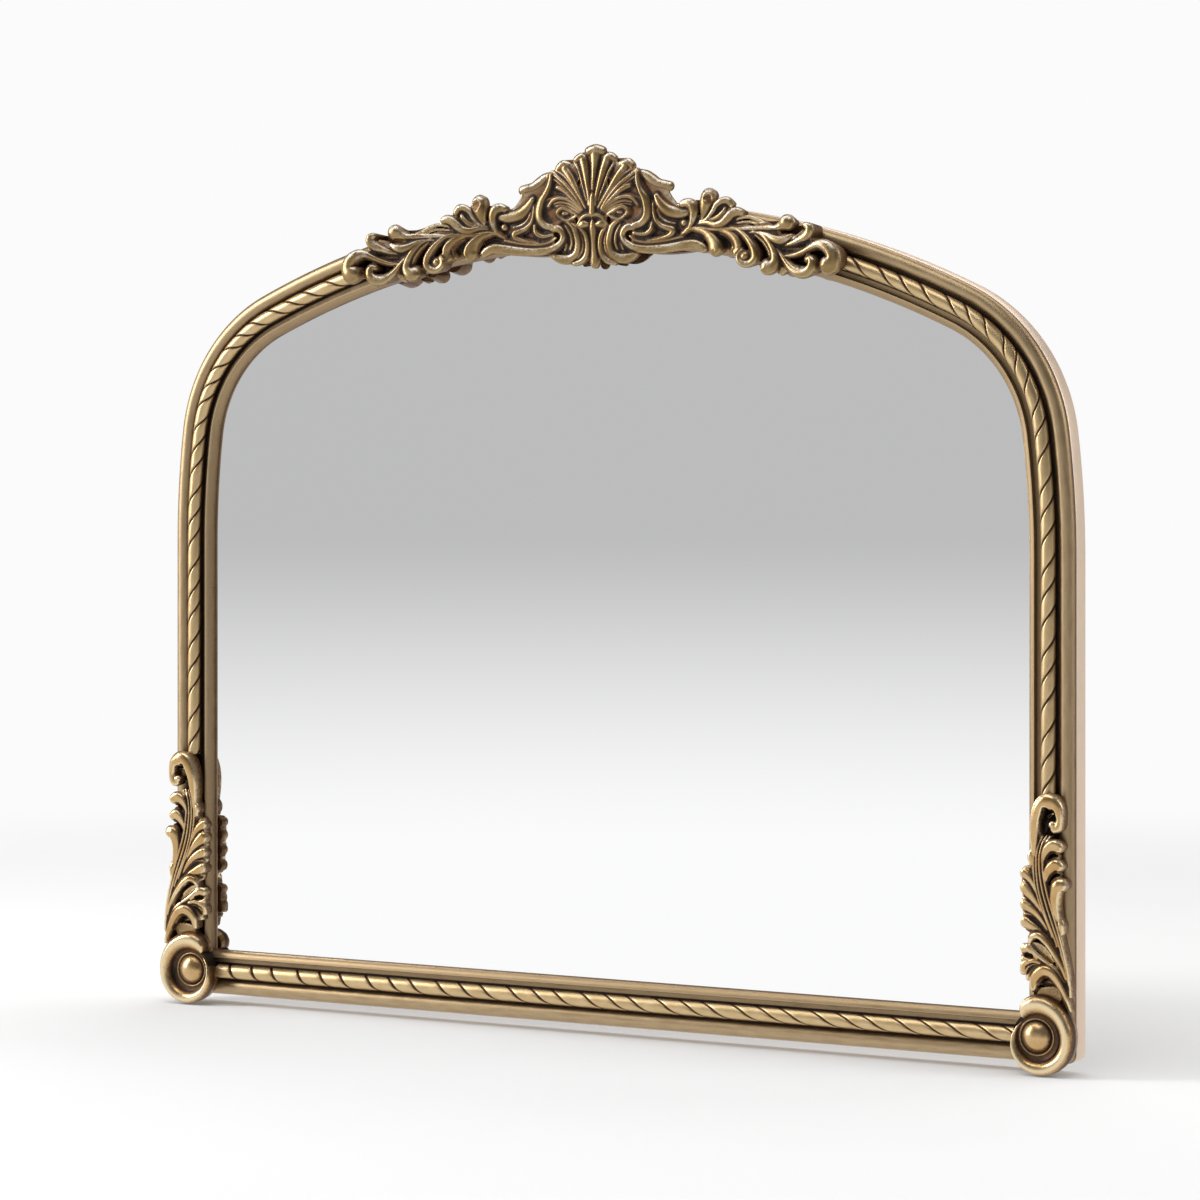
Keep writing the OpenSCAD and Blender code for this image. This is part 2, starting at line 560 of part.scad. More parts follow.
module board_clips() {
  color(steel_c) for (q = clip_spots) clip_place(q) {
    translate([clip_lift, 0, -clip_w / 2]) cube([clip_l, clip_t, clip_w]);
    translate([clip_lift, 0, -clip_w / 2]) cube([clip_t, clip_l, clip_w]);
  }
}
module clip_screws() {
  color(steel_c) for (q = clip_spots) clip_place(q)
    translate([clip_lift + clip_t, clip_l - clip_head_r - 1.2, 0]) rotate([0, 90, 0])
      cylinder(r = clip_head_r, h = head_t);
}

// Plates over the joints of the back frame
corner_mid = back_w / 2;
plate_reach = plate_l - plate_w;
plate_far = corner_mid + plate_reach;
plate_spots = [[corner_mid, corner_mid], [plate_far, corner_mid], [corner_mid, plate_far]];
corner_foot = corner_mid - plate_w / 2;
module corner_plate() {
  translate([w2 - corner_foot, back_y, bottom_z + corner_foot]) {
    translate([-plate_l, 0, 0]) cube([plate_l, plate_t, plate_w]);
    translate([-plate_w, 0, 0]) cube([plate_w, plate_t, plate_l]);
  }
}
spring_plate_l = 48; // length of the plate over the joint above each stile
module spring_plate() {
  translate([w2 - corner_mid - plate_w / 2, back_y, spring_z - spring_plate_l / 2])
    cube([plate_w, plate_t, spring_plate_l]);
}
module joint_plates() {
  color(steel_c) both_sides() { corner_plate(); spring_plate(); }
}
module head_on(x, z, y) {
  translate([x, y, z]) rotate([-90, 0, 0]) cylinder(r = head_r, h = head_t);
}
module plate_screws() {
  color(steel_c) both_sides() {
    for (q = plate_spots) head_on(w2 - q[0], bottom_z + q[1], back_y + plate_t);
    for (s = [-1, 1])
      head_on(w2 - corner_mid, spring_z + s * (spring_plate_l / 2 - plate_w / 2), back_y + plate_t);
  }
}

// Round bumpers that hold the frame off the wall: [x, z]
bumper_at = [[w2 - corner_mid, bottom_z + 110], [w2 - corner_mid - 6, spring_z + 55]];
module wall_bumpers() {
  color([0.16, 0.15, 0.14]) both_sides() for (q = bumper_at)
    translate([q[0], back_y, q[1]]) rotate([-90, 0, 0]) cylinder(r = bumper_r, h = bumper_t);
}

// Hanging strap: a folded loop for the ring's bar, and a tongue below it
module strap() {
  color(steel_c) translate([w2 - hanger_inset, 0, 0]) difference() {
    union() {
      translate([0, ring_y, 0]) rotate([0, 90, 0]) cylinder(r = loop_r, h = strap_w, center = true);
      translate([-strap_w / 2, back_y, -strap_l]) cube([strap_w, strap_t, strap_l]);
    }
    translate([0, ring_y, 0]) rotate([0, 90, 0])
      cylinder(r = wire_r + wire_gap, h = strap_w + 2, center = true);
    for (z = strap_screw_z) translate([0, back_y - 1, z]) rotate([-90, 0, 0])
      cylinder(r = screw_r + screw_gap, h = strap_t + 2);
  }
}
strap_screw_z = [-strap_l + 6, -strap_l + 19];
screw_gap = 0.2; // clearance of a strap's hole round the screw
module strap_screws() {
  color(steel_c) both_sides() for (z = strap_screw_z) {
    head_on(w2 - hanger_inset, z, back_y + strap_t);
    translate([w2 - hanger_inset, back_y, z]) rotate([-90, 0, 0]) cylinder(r = screw_r, h = strap_t + 0.5);
  }
}
module hang_ring() {
  color(steel_c) translate([w2 - hanger_inset, ring_y, 0]) {
    rotate([0, 90, 0]) cylinder(r = wire_r, h = 2 * bow_r, center = true);
    rotate([90, 0, 0]) rotate([0, 0, 180]) rotate_extrude(angle = 180) translate([bow_r, 0]) circle(wire_r);
    for (s = [-1, 1]) translate([s * bow_r, 0, 0]) sphere(wire_r);
  }
}

bottom_moulding();
mirror([1, 0, 0]) side_moulding();  // left_moulding
side_moulding();  // right_moulding
mirror([1, 0, 0]) shoulder_moulding();  // left_shoulder
shoulder_moulding();  // right_shoulder
crown_moulding();
back_bottom();
mirror([1, 0, 0]) back_side();  // back_left
back_side();  // back_right
mirror([1, 0, 0]) back_shoulder();  // back_left_shoulder
back_shoulder();  // back_right_shoulder
back_crown();
rope_bottom();
mirror([1, 0, 0]) rope_side();  // rope_left
rope_side();  // rope_right
mirror([1, 0, 0]) rope_shoulder();  // rope_left_shoulder
rope_shoulder();  // rope_right_shoulder
mirror([1, 0, 0]) rope_crown();  // rope_left_crown
rope_crown();  // rope_right_crown
crest_shell();
mirror([1, 0, 0]) crest_scroll();  // crest_scroll_left
crest_scroll();  // crest_scroll_right
mirror([1, 0, 0]) crest_spray();  // crest_spray_left
crest_spray();  // crest_spray_right
mirror([1, 0, 0]) corner_leaf();  // corner_leaf_left
corner_leaf();  // corner_leaf_right
mirror([1, 0, 0]) corner_volute();  // corner_volute_left
corner_volute();  // corner_volute_right
mirror([1, 0, 0]) rosette();  // rosette_left
rosette();  // rosette_right
mirror_glass();
backing_board();
board_clips();
clip_screws();
joint_plates();
plate_screws();
wall_bumpers();
mirror([1, 0, 0]) strap();  // strap_left
strap();  // strap_right
strap_screws();
mirror([1, 0, 0]) hang_ring();  // hang_ring_left
hang_ring();  // hang_ring_right
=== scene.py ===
import json
import math

import bmesh
import bpy
import numpy as np
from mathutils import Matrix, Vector

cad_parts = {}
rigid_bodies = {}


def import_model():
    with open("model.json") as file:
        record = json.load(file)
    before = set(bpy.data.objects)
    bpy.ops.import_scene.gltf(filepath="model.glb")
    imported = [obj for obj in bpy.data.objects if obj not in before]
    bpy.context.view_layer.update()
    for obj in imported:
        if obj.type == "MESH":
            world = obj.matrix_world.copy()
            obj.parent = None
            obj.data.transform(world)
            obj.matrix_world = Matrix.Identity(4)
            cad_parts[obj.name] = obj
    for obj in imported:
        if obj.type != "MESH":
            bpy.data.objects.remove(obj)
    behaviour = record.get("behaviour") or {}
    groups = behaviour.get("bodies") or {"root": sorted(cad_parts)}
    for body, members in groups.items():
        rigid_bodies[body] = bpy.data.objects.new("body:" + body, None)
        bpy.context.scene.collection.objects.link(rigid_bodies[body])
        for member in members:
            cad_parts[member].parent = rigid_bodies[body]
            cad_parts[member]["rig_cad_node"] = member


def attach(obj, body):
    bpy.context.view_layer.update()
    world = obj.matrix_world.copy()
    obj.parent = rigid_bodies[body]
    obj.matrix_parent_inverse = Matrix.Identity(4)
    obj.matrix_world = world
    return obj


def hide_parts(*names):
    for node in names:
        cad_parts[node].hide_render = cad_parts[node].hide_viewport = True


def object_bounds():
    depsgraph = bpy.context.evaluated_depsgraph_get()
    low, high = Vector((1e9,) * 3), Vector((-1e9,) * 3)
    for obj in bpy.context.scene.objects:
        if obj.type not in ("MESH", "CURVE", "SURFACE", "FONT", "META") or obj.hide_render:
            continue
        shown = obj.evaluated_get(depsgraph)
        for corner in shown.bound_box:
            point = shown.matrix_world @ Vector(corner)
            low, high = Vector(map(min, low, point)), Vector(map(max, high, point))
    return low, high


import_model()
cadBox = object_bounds()
scene = bpy.context.scene
scene.view_settings.view_transform = "Standard"
mm = 0.001

# sizes shared with the CAD, in mm and degrees
outline = {
    "halfWidth": 508.5,
    "spring": 50.0,
    "stile": 471.5,
    "sideR": 965.0,
    "sideTurn": 7.0,
    "shoulderR": 176.5,
    "crownTurn": 25.0,
    "cornerR": 8.0,
    "timber": 33.0,
    "backRear": -6.5,
    "seat": -27.5,
    "carve": -38.2,
}
bottomZ = outline["spring"] - outline["stile"]
sideCx = outline["halfWidth"] - outline["sideR"]
reach = outline["sideR"] - outline["shoulderR"]
shoulderCx = sideCx + reach * math.cos(math.radians(outline["sideTurn"]))
shoulderCz = outline["spring"] + reach * math.sin(math.radians(outline["sideTurn"]))
crownR = outline["shoulderR"] + shoulderCx / math.sin(math.radians(outline["crownTurn"]))
crownCz = shoulderCz - (crownR - outline["shoulderR"]) * math.cos(math.radians(outline["crownTurn"]))
crownZ = crownCz + crownR


# node helpers
# sockets: names or numbers of inputs, each with a value or with the output to link
def setSockets(tree, node, sockets):
    for key, value in sockets.items():
        if isinstance(value, bpy.types.NodeSocket):
            tree.links.new(value, node.inputs[key])
        else:
            node.inputs[key].default_value = value


def addNode(tree, kind, sockets=None, **settings):
    node = tree.nodes.new(kind)
    for key, value in settings.items():
        setattr(node, key, value)
    setSockets(tree, node, sockets or {})
    return node


# inputs and outputs: (name, type); gives the tree, its inputs, its output node and their identifiers
def newGroup(name, kind, inputs, outputs):
    tree = bpy.data.node_groups.new(name, kind)
    ids = {}
    for side, rows in (("INPUT", inputs), ("OUTPUT", outputs)):
        for label, sort in rows:
            socket = tree.interface.new_socket(label, in_out=side, socket_type="NodeSocket" + sort)
            ids[label] = socket.identifier
    return tree, tree.nodes.new("NodeGroupInput").outputs, tree.nodes.new("NodeGroupOutput"), ids


def mathNode(tree, op, *values, clamp=False):
    return addNode(tree, "ShaderNodeMath", dict(enumerate(values)), operation=op, use_clamp=clamp).outputs[0]


def mixNode(tree, kind, fac, a, b):
    first, out = {"FLOAT": (2, 0), "RGBA": (6, 2)}[kind]
    return addNode(tree, "ShaderNodeMix", {0: fac, first: a, first + 1: b}, data_type=kind).outputs[out]


def mixShader(tree, fac, a, b):
    return addNode(tree, "ShaderNodeMixShader", {0: fac, 1: a, 2: b}).outputs[0]


noiseRoughness = 0.55


def noise(tree, vector, scale, detail):
    sockets = {"Scale": scale, "Detail": detail, "Roughness": noiseRoughness, "Vector": vector}
    return addNode(tree, "ShaderNodeTexNoise", sockets).outputs["Fac"]


def ramp(tree, fac, low, high):
    sockets = {"From Min": low, "From Max": high, "Value": fac}
    return addNode(tree, "ShaderNodeMapRange", sockets, interpolation_type="SMOOTHSTEP").outputs[0]


def coordinate(tree, kind="Object"):
    return addNode(tree, "ShaderNodeTexCoord").outputs[kind]


def grey(v):
    return (v, v, v, 1)


def srgb(*levels):
    return tuple(((v / 255 + 0.055) / 1.055) ** 2.4 if v > 10 else v / 255 / 12.92 for v in levels) + (1.0,)


# stage: floor, world, lamps, camera; the levels are what glass and gilt see in each direction
stageLook = {"gap": 0.0004, "floorRadius": 60.0, "floorGrey": 0.71, "floorEdge": (1.1, 2.6), "white": 0.965,
             "shadow": 0.92, "mirrored": 1.03, "nearest": 0.5, "falloff": (0.25, 1.28), "front": 0.54,
             "worldLight": 0.55,
             "levels": [  # axis, sign, where it begins, where it is full, level
                 ("X", 1, 0.18, 0.50, 0.13), ("X", -1, 0.66, 0.86, 1.25),
                 ("Y", 1, -0.15, 0.25, 0.55), ("Z", 1, 0.10, 0.45, 0.14)]}
lampRows = [  # name, place, aimed at, width, height, power
    ("topSoftbox", (-0.4, -1.1, 2.8), (0, 0, 0), 2.8, 1.6, 38),
    ("leftSoftbox", (-2.9, -1.7, 1.3), (0, 0, 0), 0.9, 2.4, 93),
    ("rightSoftbox", (3.0, 0.7, 1.6), (0.2, 0, 0), 1.0, 2.4, 34),
    ("backSoftbox", (0.2, 1.5, 2.6), (0, 0, 0), 3.0, 1.4, 34),
]
cameraFit = {"place": (2029.03, -3616.6, 184.2), "turn": 29.5, "lens": 124.79, "sensor": 36.0,
             "shift": -0.1553, "clip": (0.05, 200)}


def makeFloor():
    look, z, r = stageLook, cadBox[0][2] - stageLook["gap"], stageLook["floorRadius"]
    mesh = bpy.data.meshes.new("floor")
    mesh.from_pydata([(-r, -r, z), (r, -r, z), (r, r, z), (-r, r, z)], [], [(0, 1, 2, 3)])
    floor = bpy.data.objects.new("floor", mesh)
    scene.collection.objects.link(floor)
    mat = bpy.data.materials.new("paleFloor")
    mat.use_nodes = True
    t = mat.node_tree
    t.nodes.clear()
    away = addNode(t, "ShaderNodeVectorMath", {0: coordinate(t)}, operation="LENGTH").outputs["Value"]
    diffuse = addNode(t, "ShaderNodeBsdfDiffuse", {"Color": grey(look["floorGrey"])}).outputs[0]
    glow = addNode(t, "ShaderNodeEmission", {"Color": grey(1), "Strength": look["white"]}).outputs[0]
    glowing = mathNode(t, "MAXIMUM", ramp(t, away, *look["floorEdge"]), 1 - look["shadow"])
    # as the glass sees it, the floor glows with a painted light that falls off with distance
    decades = mathNode(t, "LOGARITHM", mathNode(t, "MAXIMUM", away, look["nearest"]), 10.0)
    fall = ramp(t, decades, *look["falloff"])
    colour = mixNode(t, "RGBA", fall, grey(look["mirrored"]), grey(look["front"]))
    seen = addNode(t, "ShaderNodeEmission", {"Color": colour}).outputs[0]
    path = addNode(t, "ShaderNodeLightPath").outputs
    surface = mixShader(t, path["Is Glossy Ray"], mixShader(t, glowing, diffuse, glow), seen)
    addNode(t, "ShaderNodeOutputMaterial", {"Surface": surface})
    mesh.materials.append(mat)


def makeWorld():
    look = stageLook
    world = bpy.data.worlds.new("studio")
    scene.world = world
    world.use_nodes = True
    t = world.node_tree
    t.nodes.clear()
    way = addNode(t, "ShaderNodeSeparateXYZ", {0: coordinate(t, "Generated")}).outputs
    level = look["front"]
    for axis, sign, low, high, value in look["levels"]:
        fac = ramp(t, mathNode(t, "MULTIPLY", way[axis], sign), low, high)
        level = mixNode(t, "FLOAT", fac, level, value)
    light, plainLight, white = (addNode(t, "ShaderNodeBackground", {"Color": colour}).outputs[0]
                                for colour in (level, grey(look["worldLight"]), grey(look["white"])))
    path = addNode(t, "ShaderNodeLightPath").outputs
    unseen = mixShader(t, path["Is Glossy Ray"], plainLight, light)
    addNode(t, "ShaderNodeOutputWorld", {"Surface": mixShader(t, path["Is Camera Ray"], unseen, white)})


def makeLamps():
    for name, place, aim, width, height, power in lampRows:
        data = bpy.data.lights.new(name, "AREA")
        data.shape, data.size, data.size_y, data.energy = "RECTANGLE", width, height, power
        lamp = bpy.data.objects.new(name, data)
        lamp.location = place
        lamp.rotation_euler = (Vector(aim) - Vector(place)).to_track_quat("-Z", "Y").to_euler()
        scene.collection.objects.link(lamp)


def makeCamera():
    data = bpy.data.cameras.new("viewCamera")
    data.lens, data.sensor_width, data.shift_y = cameraFit["lens"], cameraFit["sensor"], cameraFit["shift"]
    data.clip_start, data.clip_end = cameraFit["clip"]
    cam = bpy.data.objects.new("viewCamera", data)
    cam.location = [v * mm for v in cameraFit["place"]]
    cam.rotation_euler = (math.pi / 2, 0, math.radians(cameraFit["turn"]))
    scene.collection.objects.link(cam)
    scene.camera = cam


makeFloor()
makeWorld()
makeLamps()
makeCamera()
print("stage ready")


# materials
# wash and deep: colours of the dark wash and of the painted shade in the hollows, deep near black where the
# shade is deepest
giltLook = {"noises": ((45, 4), (420, 3), (900, 2)),  # scale and detail: cloud, fine, speck
            "cloudShare": 0.55, "fineShare": 0.45, "rubAndHighlightShare": 0.5,
            "washAndShadeRamp": (0.06, 0.52), "deepRamp": (0.50, 0.95), "rubAndHighlightRamp": (0.30, 0.95),
            "cloudTint": ((0.3, 0.75), 0.35), "rubAndHighlightTint": 0.6, "speckTint": ((0.62, 0.74), 0.30),
            "frostRamp": (0.38, 0.56), "frost": (0.74, 0.71, 0.65, 1), "roughSpread": 0.14,
            "washAndShadeRough": 0.52, "metal": 0.95, "frostMetal": 0.30, "washAndShadeMetal": 0.60, "cloudRelief": 1.5,
            "washAndShade": srgb(98, 66, 38), "deep": srgb(36, 27, 19), "bumpDepth": 0.0006}


# Gilt with a dark wash and painted shade in the hollows, rubbed ridges with a painted highlight, fine speckle
# and dust
def wornShadedGiltGroup():
    look = giltLook
    inputs = [(label, "Color") for label in ("Gold", "Bright", "WashAndShade", "Deep")]
    inputs += [(label, "Float") for label in ("Recess", "Ridge", "Dust", "Gloss")] + [("Vector", "Vector")]
    outputs = [("Color", "Color"), ("Roughness", "Float"), ("Metallic", "Float"), ("Height", "Float")]
    t, given, gout, _ = newGroup("wornShadedGilt", "ShaderNodeTree", inputs, outputs)
    cloud, fine, speck = (noise(t, given["Vector"], *pair) for pair in look["noises"])

    def vary(base, pattern, share):
        return mathNode(t, "MULTIPLY_ADD", mathNode(t, "SUBTRACT", pattern, 0.5), share, base)

    uneven = vary(vary(given["Recess"], cloud, look["cloudShare"]), fine, look["fineShare"])
    # the recess value darkens towards the wash colour, then towards near black: wash and painted shade
    washAndShade, deep = ramp(t, uneven, *look["washAndShadeRamp"]), ramp(t, uneven, *look["deepRamp"])
    # ridges turn towards the bright colour: rubbed gilt and painted highlight
    rubbedAndLit = ramp(t, vary(given["Ridge"], fine, look["rubAndHighlightShare"]), *look["rubAndHighlightRamp"])
    (cloudRamp, cloudTint), (speckRamp, speckTint) = look["cloudTint"], look["speckTint"]
    gold = given["Gold"]
    for mask, share, tint in ((ramp(t, cloud, *cloudRamp), cloudTint, "Bright"),
                              (rubbedAndLit, look["rubAndHighlightTint"], "Bright"),
                              (ramp(t, speck, *speckRamp), speckTint, "WashAndShade")):
        gold = mixNode(t, "RGBA", mathNode(t, "MULTIPLY", mask, share), gold, given[tint])
    frost = mathNode(t, "MULTIPLY", given["Dust"], ramp(t, fine, *look["frostRamp"]), clamp=True)
    gold = mixNode(t, "RGBA", frost, gold, look["frost"])
    shade = mixNode(t, "RGBA", washAndShade, gold, given["WashAndShade"])
    rough = mathNode(t, "MULTIPLY_ADD", cloud, look["roughSpread"], given["Gloss"])
    metal = mixNode(t, "FLOAT", frost, look["metal"], look["frostMetal"])
    relief = mathNode(t, "MULTIPLY", cloud, look["cloudRelief"])
    setSockets(t, gout, {"Color": mixNode(t, "RGBA", deep, shade, given["Deep"]),
                         "Roughness": mixNode(t, "FLOAT", washAndShade, rough, look["washAndShadeRough"]),
                         "Metallic": mixNode(t, "FLOAT", washAndShade, metal, look["washAndShadeMetal"]),
                         "Height": mathNode(t, "ADD", fine, relief)})
    return t


wornShadedGilt = wornShadedGiltGroup()


def newMaterial(name):
    mat = bpy.data.materials.new(name)
    mat.use_nodes = True
    return mat, mat.node_tree, mat.node_tree.nodes["Principled BSDF"]


def bumped(tree, height, strength, distance):
    sockets = {"Strength": strength, "Distance": distance, "Height": height}
    return addNode(tree, "ShaderNodeBump", sockets).outputs["Normal"]


# stretch: along, across and through the run of a moulding
def giltMaterial(name, gold, bright, gloss, stretch=None, bump=0.12):
    mat, t, bsdf = newMaterial(name)
    look = giltLook
    sockets = {"Gold": gold, "Bright": bright, "WashAndShade": look["washAndShade"], "Deep": look["deep"], "Gloss": gloss}
    for key in ("recess", "ridge", "dust"):
        sockets[key.capitalize()] = addNode(t, "ShaderNodeAttribute", attribute_name=key).outputs["Fac"]
    if stretch:
        flow = {"Scale": stretch, "Vector": coordinate(t, "UV")}
        sockets["Vector"] = addNode(t, "ShaderNodeMapping", flow).outputs["Vector"]
    else:
        sockets["Vector"] = coordinate(t)
    gilt = addNode(t, "ShaderNodeGroup", sockets, node_tree=wornShadedGilt).outputs
    setSockets(t, bsdf, {"Base Color": gilt["Color"], "Roughness": gilt["Roughness"],
                         "Metallic": gilt["Metallic"],
                         "Normal": bumped(t, gilt["Height"], bump, look["bumpDepth"])})
    return mat


plainLook = {"detail": 4, "roughSpread": 0.16, "bumpDepth": 0.0005}


def plainMaterial(name, colour, roughness, metallic, scale, spread, bump=0.05):
    mat, t, bsdf = newMaterial(name)
    grain = noise(t, coordinate(t), scale, plainLook["detail"])
    dark, light = (tuple(min(1, c * share) for c in colour[:3]) + (1,)
                   for share in (1 - 2 * spread, 1 + spread))
    rough = plainLook["roughSpread"]
    setSockets(t, bsdf, {"Base Color": mixNode(t, "RGBA", grain, dark, light), "Metallic": metallic,
                         "Roughness": mathNode(t, "MULTIPLY_ADD", grain, rough, roughness - rough / 2),
                         "Normal": bumped(t, grain, bump, plainLook["bumpDepth"])})
    return mat


silverLook = {"scale": 2.0, "detail": 2, "tints": ((0.925, 0.93, 0.93, 1), (0.94, 0.94, 0.94, 1))}


def silverMaterial():
    mat, t, bsdf = newMaterial("silvering")
    haze = noise(t, coordinate(t), silverLook["scale"], silverLook["detail"])
    tint = mixNode(t, "RGBA", haze, *silverLook["tints"])
    setSockets(t, bsdf, {"Base Color": tint, "Roughness": 0.0, "Metallic": 1.0})
    return mat


carvedGold = giltMaterial("carvedGold", srgb(133, 108, 68), srgb(206, 184, 142), 0.24)
cornerGold = giltMaterial("cornerGold", srgb(184, 146, 92), srgb(247, 229, 190), 0.20)
mouldingGold = giltMaterial("mouldingGold", srgb(154, 131, 99), srgb(202, 180, 144), 0.36, (1, 6, 1), 0.05)
ropeGold = giltMaterial("ropeGold", srgb(192, 165, 121), srgb(232, 211, 170), 0.32, (1.5, 4, 1), 0.06)
bandPaint = plainMaterial("bandPaint", srgb(220, 198, 176), 0.40, 0.55, 60, 0.05)
boardBrown = plainMaterial("boardBrown", srgb(120, 94, 70), 0.75, 0.0, 160, 0.2, 0.3)
zincSteel = plainMaterial("zincSteel", srgb(190, 190, 188), 0.34, 1.0, 300, 0.06, 0.08)
bumperBlack = plainMaterial("bumperBlack", srgb(48, 46, 45), 0.85, 0.0, 700, 0.3, 0.4)
silvering = silverMaterial()
print("materials ready")


# mesh helpers
# uv: one pair a vertex; sharp: angle in degrees above which an edge stays sharp; close: fills open borders
def makeMesh(name, verts, faces, mat, values, uv=None, sharp=38, close=False):
    mesh = bpy.data.meshes.new(name)
    mesh.from_pydata(verts, [], faces)
    for key, data in values.items():
        attribute = mesh.attributes.new(key, "FLOAT", "POINT")
        attribute.data.foreach_set("value", np.asarray(data, dtype=np.float32))
    if uv:
        layer = mesh.uv_layers.new(name="flow")
        corner = np.empty(len(mesh.loops), dtype=np.int32)
        mesh.loops.foreach_get("vertex_index", corner)
        layer.data.foreach_set("uv", np.asarray(uv, dtype=np.float32)[corner].ravel())
    bm = bmesh.new()
    bm.from_mesh(mesh)
    if close:
        border = [e for e in bm.edges if e.is_boundary]
        bmesh.ops.triangle_fill(bm, use_beauty=True, use_dissolve=False, edges=border)
    bmesh.ops.recalc_face_normals(bm, faces=bm.faces)
    bm.to_mesh(mesh)
    bm.free()
    mesh.polygons.foreach_set("use_smooth", np.ones(len(mesh.polygons), dtype=bool))
    mesh.set_sharp_from_angle(angle=math.radians(sharp))
    mesh.materials.append(mat)
    return mesh


def addObject(name, mesh):
    obj = bpy.data.objects.new(name, mesh)
    scene.collection.objects.link(obj)
    return obj


def seatPiece(obj, node):
    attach(obj, "frame")
    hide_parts(node)
    return obj


# The same piece on the other side
def mirrored(obj, name, node):
    mesh = obj.data.copy()
    mesh.name = name
    co = np.empty(len(mesh.vertices) * 3, dtype=np.float32)
    mesh.vertices.foreach_get("co", co)
    co[0::3] *= -1
    mesh.vertices.foreach_set("co", co)
    mesh.flip_normals()
    return seatPiece(addObject(name, mesh), node)


# Tube of n closed sections of m points, with both ends capped
def tubeFaces(n, m):
    faces = [(i * m + j, i * m + (j + 1) % m, (i + 1) * m + (j + 1) % m, (i + 1) * m + j)
             for i in range(n - 1) for j in range(m)]
    return faces + [tuple(range(m)), tuple((n - 1) * m + j for j in range(m))]


# Runs a Geometry Nodes tree on the object once and keeps the result as its mesh
def bakeTree(obj, group, values):
    tree, ids = group
    mod = obj.modifiers.new(tree.name, "NODES")
    mod.node_group = tree
    for label, value in values.items():
        mod[ids[label]] = value
    depsgraph = bpy.context.evaluated_depsgraph_get()
    mesh = bpy.data.meshes.new_from_object(obj.evaluated_get(depsgraph), depsgraph=depsgraph)
    obj.modifiers.clear()
    obj.data = mesh


def geometryGroup(name, floats, integers=()):
    inputs = [("Geometry", "Geometry")] + [(label, "Float") for label in floats]
    inputs += [(label, "Int") for label in integers] + [("Material", "Material")]
    return newGroup(name, "GeometryNodeTree", inputs, [("Geometry", "Geometry")])


def namedValue(tree, key, kind="FLOAT"):
    return addNode(tree, "GeometryNodeInputNamedAttribute", {"Name": key}, data_type=kind).outputs[0]


def finishTree(tree, gout, geometry, material):
    real = addNode(tree, "GeometryNodeRealizeInstances", {"Geometry": geometry}).outputs["Geometry"]
    painted = addNode(tree, "GeometryNodeSetMaterial", {"Geometry": real, "Material": material})
    setSockets(tree, gout, {"Geometry": painted.outputs["Geometry"]})


# Rows of an outline: x, z and the direction towards the glass, anticlockwise as seen from the front
def arcRows(cx, cz, r, a0, a1, step):
    n = max(2, int(abs(a1 - a0) * math.pi / 180 * r / step))
    rows = []
    for i in range(n + 1):
        a = math.radians(a0 + (a1 - a0) * i / n)
        rows.append((cx + r * math.cos(a), cz + r * math.sin(a), -math.cos(a), -math.sin(a)))
    return rows


# Half of the rounded corner, from the mitre to the stile or to the bottom rail
def cornerRows(depth, upper):
    w, c = outline["halfWidth"], outline["cornerR"]
    cx, cz = w - c, bottomZ + c
    rows = []
    for i in range(5):
        a = math.radians(-45 + (45 if upper else -45) * i / 4)
        x, z = cx + c * math.cos(a), cz + c * math.sin(a)
        rows.append((x, z, (w - depth - x) / depth, (bottomZ + depth - z) / depth))
    return rows


def runLengths(rows):
    s, total = [0.0], 0.0
    for a, b in zip(rows, rows[1:]):
        total += math.hypot(b[0] - a[0], b[1] - a[1])
        s.append(total)
    return s


def otherSide(rows):
    return [(-x, z, -nx, nz) for x, z, nx, nz in rows]


def stileRows(low, head=()):
    zs = np.linspace(low, outline["spring"], 60)
    rows = list(head) + [(outline["halfWidth"], z, -1.0, 0.0) for z in zs]
    return rows + arcRows(sideCx, outline["spring"], outline["sideR"], 0, outline["sideTurn"], 5)[1:]


def shoulderRows():
    end = 90 - outline["crownTurn"]
    return arcRows(shoulderCx, shoulderCz, outline["shoulderR"], outline["sideTurn"], end, 3)


def crownRows(end=90 + outline["crownTurn"]):
    return arcRows(0, crownCz, crownR, 90 - outline["crownTurn"], end, 4)


def bottomRows(inset):
    w = outline["halfWidth"] - inset
    return [(x, bottomZ, 0.0, 1.0) for x in np.linspace(-w, w, 120)]


# profile: (inset, rise, recess, ridge), closed
def sweep(name, rows, profile, seat, mat, node):
    around = runLengths(profile)
    verts, uv = [], []
    for (x, z, nx, nz), along in zip(rows, runLengths(rows)):
        for (d, rise, _, _), side in zip(profile, around):
            verts.append(((x + nx * d) * mm, (seat - rise) * mm, (z + nz * d) * mm))
            uv.append((along * mm, side * mm))
    values = {"recess": [p[2] for p in profile] * len(rows), "ridge": [p[3] for p in profile] * len(rows)}
    mesh = makeMesh(name, verts, tubeFaces(len(rows), len(profile)), mat, values, uv)
    return seatPiece(addObject(name, mesh), node)


# mouldings and the timbers behind them
mouldingShape = {"beadX": 8.0, "beadRise": 2.6, "beadR": 8.0, "beadArc": (182, 14, 20), "beadWashAndShade": 0.5,
                 "beadRubAndHighlight": 0.55, "floor": 4.5, "crest": 10.7, "width": 46.0, "channel": (15.9, 38.3),
                 "rebate": (34.5, 1.5), "lipSteps": 14}
timberProfile = [(0.6, 0.0, 0, 0), (0.0, 0.6, 0, 0), (0.0, 19.2, 0, 0), (0.25, 19.6, 1, 0), (0.5, 20.0, 1, 0),
                 (0.5, 21.0, 1, 0), (33.0, 21.0, 0, 0), (33.0, 0.6, 0, 0), (32.4, 0.0, 0, 0)]


